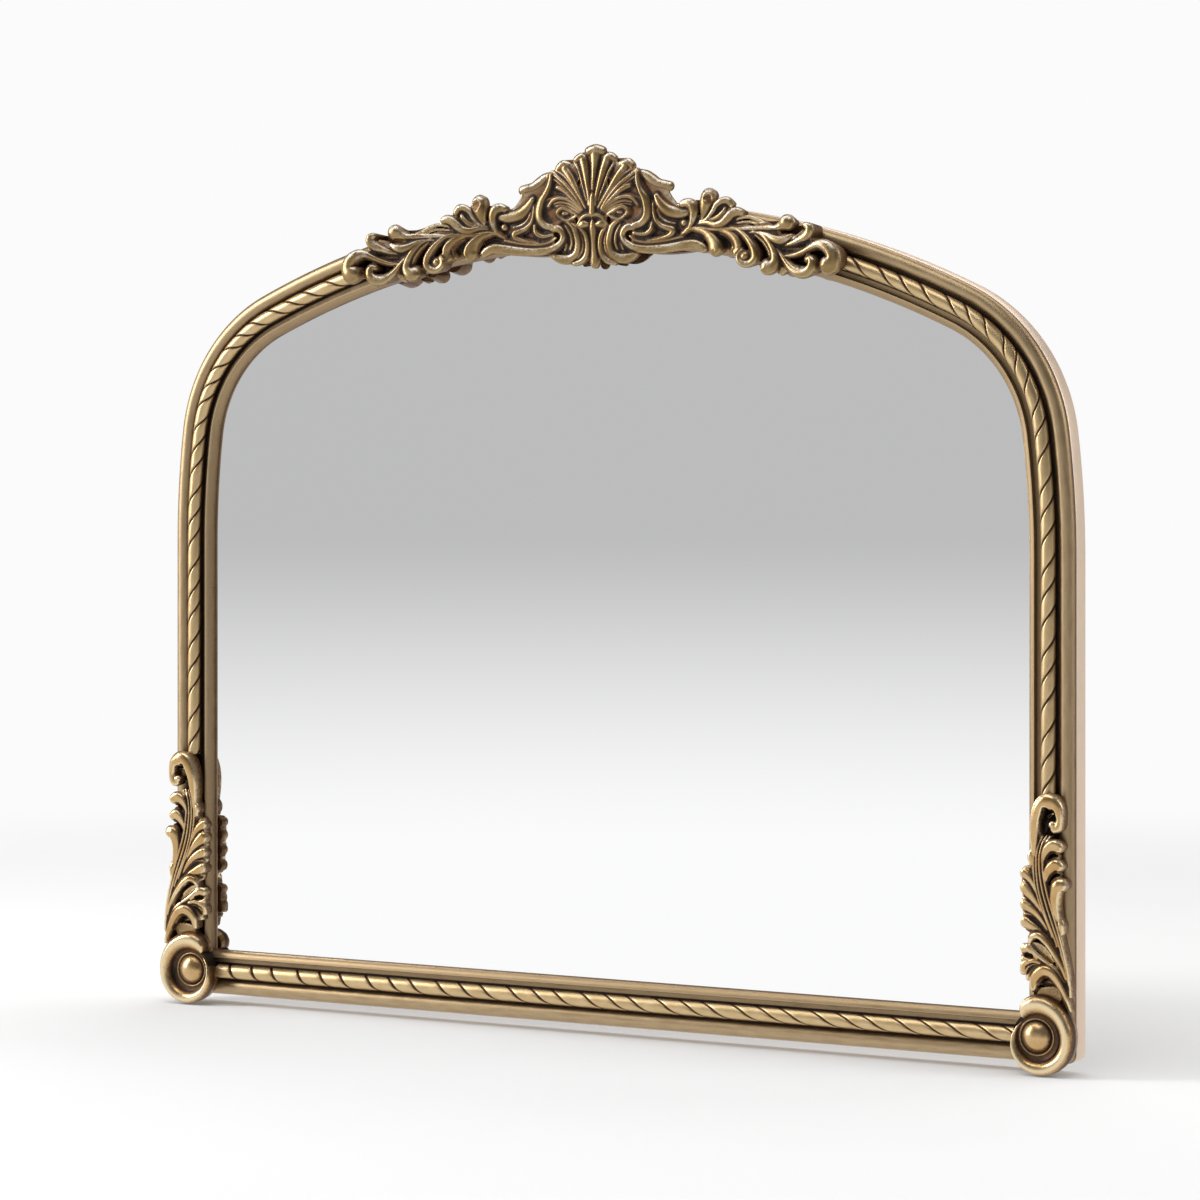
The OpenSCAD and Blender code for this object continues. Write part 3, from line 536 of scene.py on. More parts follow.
def mouldingProfile():
    p = mouldingShape
    outer, inner = p["channel"]
    floor, crest, lipR = p["floor"], p["crest"], p["width"] - inner
    # recess: wash and painted shade on the bead's flanks, in the channel and down the lip; ridge: painted
    # highlight on the bead's crest and the lip's edge
    rows = [(0.4, 0.0, 0.9, 0), (0.3, 1.2, 0.9, 0)]
    start, end, steps = p["beadArc"]
    for i in range(steps + 1):
        t = i / steps
        a = math.radians(start + (end - start) * t)
        bulge = math.sin(math.pi * t)
        rows.append((p["beadX"] + p["beadR"] * math.cos(a), p["beadRise"] + p["beadR"] * math.sin(a),
                     p["beadWashAndShade"] * (1 - bulge) ** 2, p["beadRubAndHighlight"] * bulge ** 2))
    rows += [(outer, floor, 0.7, 0), (outer + 1.5, floor, 0.9, 0), (inner - 5.2, floor, 0.9, 0),
             (inner - 4.6, floor, 0.16, 0), (inner - 0.5, floor, 0.16, 0), (inner, floor, 0.3, 0),
             (inner, floor + 1, 0.2, 0), (inner, crest - 1.2, 0.2, 0), (inner + 0.2, crest - 0.3, 0.15, 0.4)]
    for k in range(p["lipSteps"] + 1):
        a, t = math.radians(86 - 86 * k / p["lipSteps"]), k / p["lipSteps"]
        rows.append((inner + lipR * math.cos(a), crest - lipR + lipR * math.sin(a), 0.12 + 0.25 * t ** 4,
                     0.8 * max(0.0, 1 - k / 4)))
    depth, back = p["rebate"]
    return rows + [(p["width"], back, 0.5, 0), (depth, back, 0.8, 0), (depth, 0, 0.8, 0)]


def buildMouldings():
    face, seat, rear = mouldingProfile(), outline["seat"], outline["backRear"]

    def runs(depth):
        stile, low = stileRows(bottomZ + depth, cornerRows(depth, True)), cornerRows(depth, False)
        bottom = otherSide(low) + bottomRows(depth) + low[::-1]
        shoulder = shoulderRows()
        return [stile, otherSide(stile)[::-1], shoulder, otherSide(shoulder)[::-1], crownRows(), bottom]

    words = [  # name, node of the face, node of the timber
        ("rightStile", "right_moulding", "back_right"), ("leftStile", "left_moulding", "back_left"),
        ("rightShoulder", "right_shoulder", "back_right_shoulder"),
        ("leftShoulder", "left_shoulder", "back_left_shoulder"),
        ("crown", "crown_moulding", "back_crown"), ("bottom", "bottom_moulding", "back_bottom")]
    rowPairs = zip(runs(mouldingShape["width"]), runs(outline["timber"]))
    for (word, faceNode, timberNode), (faceRows, timberRows) in zip(words, rowPairs):
        sweep(word + "Moulding", faceRows, face, seat, mouldingGold, faceNode)
        sweep(word + "Timber", timberRows, timberProfile, rear, bandPaint, timberNode)


buildMouldings()
print("mouldings ready")


# rope bead; marks: where the strands part within a pitch; twist: share of the lead along the bottom rope
ropeShape = {"inset": 24.7, "radius": 7.3, "rise": 8.8, "floor": 4.5, "tuck": 56.0, "foot": 250.0,
             "stop": 16.5, "section": 0.9, "points": 30, "pitch": 77.4, "bottomPitch": 86.0,
             "marks": (0.0, 1.17, 2.07, 3.05), "grooveWidth": 1.2, "grooveDepth": 2.1,
             "sharpShare": 0.85, "softShare": 0.15, "softWidth": 3.2,
             "lead": 9.0, "edge": (0.80, 0.20), "edgeWashAndShade": 0.8, "rubAndHighlight": 0.4, "highlightTurn": 0.5,
             "twist": ((0, 0.26, 0.67, 0.8, 1), (1.15, 1.3, 0.85, 0.65, 0.28))}


def ropeGroup():
    p = ropeShape
    floats = ("Pitch", "Lead", "Groove Width", "Groove Depth")
    tree, given, gout, ids = geometryGroup("ropeGrooves", floats)

    def calc(op, *values):
        return mathNode(tree, op, *values)

    along, around, cap, recess, ridge = (namedValue(tree, key)
                                         for key in ("along", "around", "cap", "recess", "ridge"))
    shifted = calc("SUBTRACT", along, calc("MULTIPLY", around, given["Lead"]))
    place = calc("MULTIPLY", calc("FRACT", calc("DIVIDE", shifted, given["Pitch"])), p["marks"][-1])
    gaps = [calc("ABSOLUTE", calc("SUBTRACT", place, mark)) for mark in p["marks"]]
    near = gaps[0]
    for gap in gaps[1:]:
        near = calc("MINIMUM", near, gap)
    away = calc("MULTIPLY", near, calc("DIVIDE", given["Pitch"], p["marks"][-1]))

    def bell(width):
        q = calc("DIVIDE", away, width)
        return calc("POWER", 2.718, calc("MULTIPLY", calc("MULTIPLY", q, q), -1.0))

    cut, soft = bell(given["Groove Width"]), bell(calc("MULTIPLY", given["Groove Width"], p["softWidth"]))
    sink = calc("ADD", calc("MULTIPLY", cut, p["sharpShare"]), calc("MULTIPLY", soft, p["softShare"]))
    sink = calc("MULTIPLY", sink, calc("SUBTRACT", 1.0, cap))
    depth = calc("MULTIPLY", calc("MULTIPLY", sink, given["Groove Depth"]), -mm)
    sockets = {0: addNode(tree, "GeometryNodeInputNormal").outputs["Normal"], "Scale": depth}
    offset = addNode(tree, "ShaderNodeVectorMath", sockets, operation="SCALE").outputs[0]
    sockets = {"Geometry": given["Geometry"], "Offset": offset}
    last = addNode(tree, "GeometryNodeSetPosition", sockets).outputs["Geometry"]
    # grooves darken with wash and painted shade and lose the painted highlight
    for key, value in (("recess", calc("MAXIMUM", recess, calc("POWER", cut, 0.5))),
                       ("ridge", calc("MULTIPLY", ridge, calc("SUBTRACT", 1.0, soft)))):
        sockets = {"Name": key, "Geometry": last, "Value": value}
        store = addNode(tree, "GeometryNodeStoreNamedAttribute", sockets, data_type="FLOAT")
        last = store.outputs["Geometry"]
    finishTree(tree, gout, last, given["Material"])
    return tree, ids


# rows run clockwise as seen from the front; start: distance along the pattern at the first row
def buildRope(name, rows, start, pitch, node, group, twist=((0, 1), (1, 1))):
    p = ropeShape
    s = runLengths(rows)
    last = max(4, int(s[-1] / p["section"]))
    grid = np.linspace(0, s[-1], last + 1)
    columns = [np.interp(grid, s, column) for column in np.array(rows).T]
    half = math.degrees(math.acos((p["floor"] - p["rise"]) / p["radius"]))
    angles = np.radians(np.linspace(-half, half, p["points"]))
    verts, uv = [], []
    values = {key: [] for key in ("along", "around", "cap", "recess", "ridge")}
    for i, (x, z, nx, nz) in enumerate(zip(*columns)):
        slant = float(np.interp(i / last, *twist))
        for a in angles:
            d = p["inset"] + p["radius"] * math.sin(a)
            rise = p["rise"] + p["radius"] * math.cos(a)
            verts.append(((x + nx * d) * mm, (outline["seat"] - rise) * mm, (z + nz * d) * mm))
            uv.append(((start + grid[i]) * mm, (a + 2) * p["radius"] * mm))
            # flanks get wash and painted shade; the ridge is a painted highlight turned towards the frame's
            # outer edge
            edge = (min(1.0, abs(a) / math.radians(90)) - p["edge"][0]) / p["edge"][1]
            for key, value in (("along", start + grid[i]), ("around", a * slant),
                               ("cap", float(i in (0, last))),
                               ("recess", max(0.0, edge) * p["edgeWashAndShade"]),
                               ("ridge", p["rubAndHighlight"] * max(0.0, math.cos(a + p["highlightTurn"])) ** 2)):
                values[key].append(value)
    mesh = makeMesh(name, verts, tubeFaces(last + 1, p["points"]), ropeGold, values, uv, 60)
    obj = addObject(name, mesh)
    bakeTree(obj, group, {"Pitch": pitch, "Lead": p["lead"], "Groove Width": p["grooveWidth"],
                          "Groove Depth": p["grooveDepth"], "Material": ropeGold})
    for key in ("along", "around", "cap"):
        obj.data.attributes.remove(obj.data.attributes[key])
    seatPiece(obj, node)
    return s[-1]


def buildRopes():
    group, p = ropeGroup(), ropeShape
    stile, shoulder = stileRows(bottomZ + p["foot"]), shoulderRows()
    crown = crownRows(90 - p["stop"])
    at = 0.0
    for name, rows, start, node in (  # start: place in the pattern at the first row, or None to carry on
            ("leftRope", otherSide(stile), 39.5, "rope_left"),
            ("leftShoulderRope", otherSide(shoulder), None, "rope_left_shoulder"),
            ("leftCrownRope", otherSide(crown), None, "rope_left_crown"),
            ("rightCrownRope", crown[::-1], 46.8, "rope_right_crown"),
            ("rightShoulderRope", shoulder[::-1], None, "rope_right_shoulder"),
            ("rightRope", stile[::-1], None, "rope_right")):
        at = start if start is not None else at
        at += buildRope(name, rows, at, p["pitch"], node, group)
    bottom = bottomRows(p["tuck"])[::-1]
    buildRope("bottomRope", bottom, 59.3, p["bottomPitch"], "rope_bottom", group, p["twist"])


buildRopes()
print("ropes ready")


# carved relief
# A carving is drawn as strokes on a fine grid. Stroke points are (x, z, half width, height): x from
# the centre line, z from the drawing's zero line, height above the carvings' seat.
drawingZero = 184.2
# hollows: reach, scale and share of the wash and painted shade in the carvings' hollows
reliefLook = {"step": 0.7, "leafStep": 0.6, "pace": 0.6, "margin": 2.5, "smooth": 0.75, "fold": 62,
              "flankWashAndShade": (0.18, 0.74, 1.15, 0.85), "groundWashAndShade": 0.22, "sinkWashAndShade": 0.6, "rimWashAndShade": 0.5,
              "ridgeReach": 1.3, "dustSlope": 0.35, "sprayFuller": 1.16, "sprayRaise": 0.42, "leafRaise": 0.25,
              "crestUndercut": 0.45, "crestDust": 0.85, "crestRidge": 0.7, "centreReach": 16,
              "crestArea": ((0.0, 126.0), (285.6, 268.8)), "leafArea": ((456.0, -556.5), (516.0, -349.5)),
              "hollows": ((1.2, 0.45, 0.34), (3.0, 1.8, 0.36), (8.0, 6.0, 0.30))}  # reach, scale, share
# flank wash and painted shade: where it starts on a stroke's flank, over what width, how it bends, how strong
# it is


# Catmull-Rom through the points, a sample every pace mm
def spline(points):
    p = np.array(points, dtype=float)
    rows = []
    for i in range(len(p) - 1):
        a, b, c, d = p[max(i - 1, 0)], p[i], p[i + 1], p[min(i + 2, len(p) - 1)]
        n = max(2, int(np.hypot(*(c - b)[:2]) / reliefLook["pace"]) + 1)
        for t in np.arange(n) / n:
            rows.append(0.5 * (2 * b + (c - a) * t + (2 * a - 5 * b + 4 * c - d) * t * t
                               + (3 * b - a - 3 * c + d) * t ** 3))
    return np.array(rows + [p[-1]])


def newField(low, high, step):
    axes = (a + step * np.arange(int(round((b - a) / step)) + 1) for a, b in zip(low, high))
    gx, gz = np.meshgrid(*axes, indexing="ij")
    start = {"height": -99.0, "cover": -99.0, "group": 0, "deep": 0.0, "half": 4.0, "tone": -1.0}
    return {"x": gx, "z": gz, "step": step, **{key: np.full(gx.shape, v) for key, v in start.items()}}


# Window of the grid near a stroke; its distance and side from the line, half width and height there
def nearStroke(field, points):
    line = spline(points)
    margin, step = line[:, 2].max() + reliefLook["margin"], field["step"]

    def span(values, start, count):
        low, high = (int((v - start) / step) for v in (values.min() - margin, values.max() + margin))
        return slice(max(0, low), max(0, min(count, high + 2)))

    gx, gz = field["x"], field["z"]
    win = span(line[:, 0], gx[0, 0], gx.shape[0]), span(line[:, 1], gz[0, 0], gz.shape[1])
    gx, gz = gx[win], gz[win]
    best, index = np.full(gx.shape, 1e9), np.zeros(gx.shape, dtype=int)
    for k, q in enumerate(line):
        d = (gx - q[0]) ** 2 + (gz - q[1]) ** 2 - 0.15 * q[2] ** 2
        closer = d < best
        best[closer], index[closer] = d[closer], k
    near, way = line[index], np.gradient(line[:, :2], axis=0)[index]
    dx, dz = gx - near[..., 0], gz - near[..., 1]
    return win, np.hypot(dx, dz), np.sign(way[..., 0] * dz - way[..., 1] * dx), near[..., 2], near[..., 3]


# Keeps the higher surface and marks where it does
def layOver(field, win, height, cover, **marks):
    height = np.where(cover > -2.0, height, -99)
    higher = height > field["height"][win]
    for key, value in {"height": height, **marks}.items():
        field[key][win] = np.where(higher, value, field[key][win])
    field["cover"][win] = np.maximum(field["cover"][win], cover)


# round and power: how it falls off to its edges; lean: where its top is, from -1 to 1; dip: hollow in the top
def drawStroke(field, points, group, round=0.8, power=2.0, lean=0.0, dip=0.0):
    win, dist, side, half, top = nearStroke(field, points)
    u = np.clip(dist / half, 0, 1) * side
    bent = np.where(u > lean, (u - lean) / (1 - lean), (u - lean) / (1 + lean))
    dome = np.sqrt(np.clip(1 - np.abs(bent) ** power, 0, 1))
    h = np.maximum(top - round * half * (1 - dome), 0.25 * top) - dip * np.clip(1 - u ** 2, 0, 1)
    # the flank darkens towards the stroke's edges: wash and painted shade where the form turns away
    start, width, bend, share = reliefLook["flankWashAndShade"]
    flank = np.clip((np.abs(u) - start) / width, 0, 1) ** bend
    layOver(field, win, h, half - dist, group=group, deep=share * flank, half=half)


# A gouge whose height is its depth
def drawSink(field, points):
    win, dist, _, half, depth = nearStroke(field, points)
    cut = depth * np.sqrt(np.clip(1 - (dist / half) ** 2, 0, 1))
    field["height"][win] -= cut
    # the gouge darkens with its depth: wash and painted shade
    field["deep"][win] = np.maximum(field["deep"][win], reliefLook["sinkWashAndShade"] * cut / depth)


# A flat floor at its own height with a fixed wash and painted shade; only a light one may widen the carving
def drawFloor(field, points, tone):
    win, dist, _, half, top = nearStroke(field, points)
    if tone < 0.5:
        field["cover"][win] = np.maximum(field["cover"][win], half - dist)
    hit = (dist < half) & (field["cover"][win] > -1)
    field["height"][win] = np.where(hit, top, field["height"][win])
    field["tone"][win] = np.where(hit, tone, field["tone"][win])


# Low ground between the strokes
def drawGround(field, points, group):
    win, dist, _, half, top = nearStroke(field, points)
    # the ground gets a fixed wash and painted shade
    layOver(field, win, top, half - dist, group=group, deep=reliefLook["groundWashAndShade"])


def blur(a, sigma):
    r = int(3 * sigma + 1)
    k = np.exp(-((np.arange(-r, r + 1) / sigma) ** 2) / 2)
    k /= k.sum()
    for axis in (0, 1):
        p = np.pad(a, [(r, r) if ax == axis else (0, 0) for ax in (0, 1)], mode="edge")
        n = a.shape[axis]
        a = sum(w * (p[i:i + n] if axis == 0 else p[:, i:i + n]) for i, w in enumerate(k))
    return a


# Softens the heights and works out the wash and painted shade in the hollows, the rubbed gilt and painted
# highlight on the ridges, dust and the cut edge
def finishField(field, dust=0.0, ridge=1.0, undercut=0.15):
    step, cover = field["step"], field["cover"]
    smooth, reach = reliefLook["smooth"], reliefLook["ridgeReach"]
    inside = cover > 0
    near = (blur(inside.astype(float), 1.0) > 0.02) & (field["height"] > -50)
    weight = near.astype(float)
    h = np.where(near, field["height"], 0)
    h = np.where(near, blur(h * weight, smooth) / np.maximum(blur(weight, smooth), 1e-3), -2.0)
    low = np.where(inside, h, -3.0)
    # recess: wash and painted shade by how far a cell lies below its blurred surroundings
    recess = np.zeros(h.shape)
    for width, scale, share in reliefLook["hollows"]:
        recess += share * np.clip((blur(low, width / step) - h) / scale, -0.5, 1.6)
    recess = np.clip(recess + field["deep"], 0, 1)
    field["recess"] = blur(np.where(field["tone"] >= 0, field["tone"], recess), 0.5)
    # ridge: rubbed gilt and painted highlight where a cell stands above its surroundings
    field["ridge"] = np.clip((h - blur(low, reach / step)) / reach, 0, 1) * ridge
    rise = np.gradient(h, step)[1]
    gx, gz = np.gradient(cover, step)
    crown = np.clip(-gz - 0.2, 0, 1) * np.clip(1.2 - cover / 7, 0, 1)
    settled = np.clip(-rise - reliefLook["dustSlope"], 0, 1) * (cover > 1.4) + crown
    field["dust"] = np.clip(blur(settled, 1.0), 0, 1) * dust
    steep = np.maximum(np.hypot(gx, gz), 0.3)
    under = np.minimum(undercut * np.clip(h - 3, 0, None), 0.7 * field["half"]) * (cover < 1.5)
    size = np.maximum(gx ** 2 + gz ** 2, 0.25)
    shift = np.where(inside, 0, np.clip(-cover / size, 0, 1.3 * step))
    field.update(height=h, inside=inside, inX=gx / steep * under, inZ=gz / steep * under,
                 x=field["x"] + gx * shift, z=field["z"] + gz * shift)


# Cells with a corner inside the outline
def openCells(field):
    inside = field["inside"]
    return inside[:-1, :-1] | inside[1:, :-1] | inside[1:, 1:] | inside[:-1, 1:]


# Closed mesh of the chosen cells with a flat back on the seat
def reliefMesh(name, field, cells, node, mat):
    seat, number = outline["carve"], np.arange(field["x"].size).reshape(field["x"].shape)
    corners = number[:-1, :-1], number[1:, :-1], number[1:, 1:], number[:-1, 1:]
    used, quads = np.unique(np.stack([c[cells] for c in corners], axis=1), return_inverse=True)
    quads, n = quads.reshape(-1, 4), len(used)
    x, z, h, inX, inZ = (field[key].ravel()[used] for key in ("x", "z", "height", "inX", "inZ"))
    start, end = quads.ravel(), np.roll(quads, -1, axis=1).ravel()
    alone = ~np.isin(start * n + end, end * n + start)
    start, end = start[alone], end[alone]
    rim, flat = np.unique(np.concatenate([start, end]), return_inverse=True)
    backStart, backEnd = np.split(flat + n, 2)
    verts = np.stack([np.concatenate([x, (x + inX)[rim]]),
                      np.concatenate([seat - h, np.full(len(rim), seat)]),
                      np.concatenate([z, (z + inZ)[rim]]) + drawingZero], axis=1) * mm
    faces = quads.tolist() + np.stack([end, start, backStart, backEnd], axis=1).tolist()
    # the side walls and the back get a fixed wash and painted shade
    values = {key: np.concatenate([field[key].ravel()[used], np.full(len(rim), rest)])
              for key, rest in (("recess", reliefLook["rimWashAndShade"]), ("ridge", 0.0), ("dust", 0.0))}
    mesh = makeMesh(name, verts.tolist(), faces, mat, values, sharp=reliefLook["fold"], close=True)
    return seatPiece(addObject(name, mesh), node)


plain, sharpRidge, rib = {}, {"round": 1.3, "power": 1.6}, {"round": 0.7}
shellStrokes = [
    (rib, [(0, 222, 2, 7.8), (0, 232, 2.6, 6.6), (0, 244, 4.4, 5), (0, 251, 6.4, 4.2), (0, 257, 8.6, 3.6)]),
    (plain, [(-7.6, 259.4, 5, 3.3), (0, 261.4, 5.2, 3.8), (7.6, 259.4, 5, 3.3)]),
    (plain, [(0, 198, 4.8, 9.6), (0, 206, 4.2, 9.8), (0, 212.5, 3.3, 9.4), (0, 216, 2.6, 8.6)]),
    (rib, [(3.6, 206, 1.5, 9), (4.6, 216, 2.1, 8.2), (7.2, 228, 3.3, 7), (10.4, 241, 4.9, 5.4),
           (13.4, 251, 5.6, 4)]),
    (plain, [(12.6, 253.2, 3.8, 3.4), (17, 254.2, 4.2, 3.6), (21.6, 251.6, 3.8, 3.2)]),
    (sharpRidge, [(6.6, 210.7, 1, 8), (11.2, 223, 1.3, 6.8), (16.5, 238, 1.5, 5), (21.6, 247, 1.6, 3.4)]),
    (rib, [(7.4, 203.4, 1.3, 9), (12.4, 211.6, 1.9, 8.4), (18.6, 221, 3, 7.4), (26.4, 233, 4.8, 5.8),
           (34, 242.4, 5.4, 4.4)]),
    (plain, [(31.4, 246.2, 4.2, 3.4), (37, 247.2, 4.6, 3.6), (41.6, 244, 4.2, 3.4)]),
    (sharpRidge, [(11, 206, 1, 8), (22, 222.4, 1.2, 7), (33, 235, 1.4, 5.2), (43.4, 241.6, 1.4, 3.6)]),
    (plain, [(10.6, 202.4, 1.2, 9), (18.6, 214, 1.8, 8.4), (29.6, 225.6, 2.3, 7.4), (38.8, 232.6, 2.4, 6),
             (48, 239.6, 2.3, 4.6)]),
    (sharpRidge, [(15, 206.4, 0.9, 8), (26, 218.6, 1.2, 7.2), (39, 228.4, 1.3, 5.8), (46, 233, 1.3, 5)]),
    (plain, [(11, 201.4, 1.2, 9), (19.4, 209.8, 2.1, 8.8), (28.6, 218, 2.9, 8.2), (35, 222.2, 3.1, 7.6),
             (40.6, 224.4, 2.4, 7)]),
    (plain, [(11.6, 200.8, 1.1, 9), (20.6, 207.6, 1.6, 8.8), (29, 212.2, 1.9, 8.6), (38.4, 213.6, 2, 8.4),
             (45.6, 211.2, 2, 8.2), (50.4, 206, 1.6, 7.8)]),
    (plain, [(13, 199.6, 0.9, 8.8), (24, 206.4, 1.2, 8.2), (35, 209.4, 1.3, 7.8), (44, 208.2, 1.1, 7.2)]),
    (sharpRidge, [(14.6, 198.4, 0.9, 8.4), (26, 204.4, 1.1, 8), (36, 206.6, 1.1, 7.6), (43, 205.6, 1, 7)]),
    (plain, [(17.4, 196.6, 1.1, 8.6), (26.4, 201.2, 1.6, 8.8), (34.4, 203.6, 1.9, 8.8), (39.8, 199.8, 2, 8.8),
             (38, 196, 1.8, 8.4)]),
    (plain, [(18, 196, 1.1, 8.4), (24, 192.8, 1.3, 8.2), (31, 191.6, 1.4, 8.2), (36.6, 195, 1.6, 8.2)]),
    (plain, [(29, 198.6, 2.2, 8), (33, 198.2, 2, 8)]),
    (plain, [(-2, 195.6, 1.7, 9.6), (6, 196, 1.9, 9.8), (12, 193, 1.9, 9.4), (16, 187.4, 1.6, 8.8)]),
    (plain, [(6, 187, 3.2, 9), (10, 187.4, 4.6, 9.8), (13.4, 186, 3.4, 9)]),
    (plain, [(0, 190, 2.6, 8.2), (0, 184, 4.8, 8.4), (0, 178, 4.2, 7.8), (0, 170, 3, 6.8), (0, 160, 4.2, 5.6),
             (0, 151, 5.6, 5), (0, 148.4, 5.2, 4.8)]),
    (plain, [(16, 184.6, 2.2, 7.4), (9.6, 178, 3, 7), (7.2, 168, 3.2, 6.4), (8.6, 158, 3.4, 5.6),
             (14, 151.4, 3.2, 5), (23, 148.4, 2.4, 4.6)]),
    (sharpRidge, [(15.6, 181, 1, 6), (12.4, 171, 1.3, 5.6), (13.4, 161, 1.3, 5), (19, 153.6, 1.2, 4.6)]),
    (plain, [(29, 190.4, 2.4, 7.8), (22.4, 185, 3.4, 8.2), (18.6, 176, 4, 8), (17.6, 167, 4.2, 7.4),
             (20.4, 158.4, 4.8, 6.6), (27.4, 154, 5.2, 6.4), (35.4, 153.4, 5.4, 6.2), (42.6, 155, 4.6, 5.8),
             (48, 157.6, 3.2, 5.2)]),
    (plain, [(31, 186, 1.4, 6.6), (26, 178, 1.9, 6.4), (24.6, 169, 1.9, 5.8), (26.8, 162.4, 1.4, 5.2)]),
    (plain, [(34, 176, 1.3, 5.2), (31, 168, 2, 5), (33, 162, 1.6, 4.6)]),
]
shellGrounds = [
    [(0, 252, 10, 1.4), (0, 240, 13, 2.4), (0, 225, 16, 4), (0, 205, 18, 5.6), (0, 190, 16, 5),
     (0, 172, 12, 3.4), (0, 158, 8, 2.4)],
    [(14, 246, 7, 1.4), (26, 237, 10, 2.4), (36, 231, 11, 2.8), (40, 224, 12, 3.4), (42, 214, 12, 4.4),
     (40, 203, 14, 5)],
    [(30, 190, 10, 4.2), (26, 176, 9, 3.2), (30, 166, 11, 2.6), (42, 160, 7, 2.4)],
]
shellDish = [(44.4, 200, 12, 7.2), (46, 201, 12, 7.2)]  # round hollow beside the shell's curl
scrollStrokes = [
    ({"lean": -0.35}, [(49, 237.4, 2.2, 6), (50.2, 228, 2.8, 7.2), (54, 219, 3.4, 8.2), (59, 211, 4.6, 8.8),
                       (61.6, 201, 5.2, 9), (60.4, 193, 5, 9), (55, 187.2, 4.4, 8.8), (47, 184.6, 4, 8.6)]),
    ({"lean": 0.15}, [(46, 183.4, 3.4, 8.4), (38.6, 183.2, 4.2, 9), (34, 178.4, 3.6, 9),
                      (34.6, 172, 3.2, 8.8), (40, 166.8, 3.5, 8.8), (49, 163, 4, 9), (60, 161.4, 4.4, 9.2),
                      (75, 161.4, 4.8, 9.4), (90, 162.8, 5.2, 9.6), (104, 164.6, 5.4, 9.8),
                      (114, 165, 5.4, 10), (121, 162.8, 5.2, 10), (124.6, 160.4, 4.4, 9.8)]),
    (plain, [(42, 174.4, 1.1, 7.2), (49, 170, 1.3, 7.6), (60, 168, 1.4, 7.8), (74, 168.4, 1.4, 7.8),
             (88, 170.2, 1.5, 7.8), (101, 172.8, 1.5, 7.2)]),
    (plain, [(46, 177.6, 1.6, 7.2), (54, 176, 2, 7.8), (61, 177, 2.4, 8), (65.6, 181, 2.5, 8),
             (66.6, 187, 1.8, 7.2)]),
    (plain, [(67.6, 206, 1.2, 6.8), (68.4, 197, 1.6, 7.2), (71, 189.6, 2, 7.6), (77, 184.4, 2.6, 8),
             (84, 181.6, 3.2, 8.4), (89.6, 179.4, 3.9, 8.6), (88.6, 175.6, 3.4, 8.4), (83, 173, 2.4, 8),
             (74, 171, 1.5, 7.4), (62, 169.8, 1.1, 7)]),
    (plain, [(52, 237.6, 3, 3.4), (57.4, 234, 5.4, 3.8), (64, 229.2, 6.2, 4), (71, 225.6, 5.2, 4),
             (78, 224, 5, 4.2), (83.4, 222.8, 5, 4)]),
    ({"lean": -0.2}, [(70.6, 213, 3.6, 6.2), (75.6, 205.6, 6.2, 7.2), (82.6, 199.8, 7, 8),
                      (91, 196.8, 6.8, 8.4), (99.6, 196, 6.4, 8.4), (106, 196.6, 4.8, 8)]),
    (plain, [(102, 186, 4.6, 7), (102.6, 186, 4.6, 7)]),
    (sharpRidge, [(72, 200, 1.2, 6), (76, 192.6, 1.4, 6), (83, 188, 1.4, 6), (92, 186, 1.2, 6)]),
]
scrollGrounds = [
    [(56, 230, 6, 2.8), (64, 222, 8, 3), (74, 214, 9, 3.2), (80, 206, 9, 3.4), (88, 198, 9, 3.6),
     (100, 192, 10, 3.8), (110, 182, 10, 4), (116, 172, 9, 4.2)],
    [(60, 216, 8, 3), (66, 200, 12, 3.2), (66, 186, 14, 3.2), (56, 172, 12, 3.2), (76, 176, 12, 3.4),
     (92, 180, 13, 3.6), (104, 172, 10, 4), (116, 166, 7, 4.2)],
]
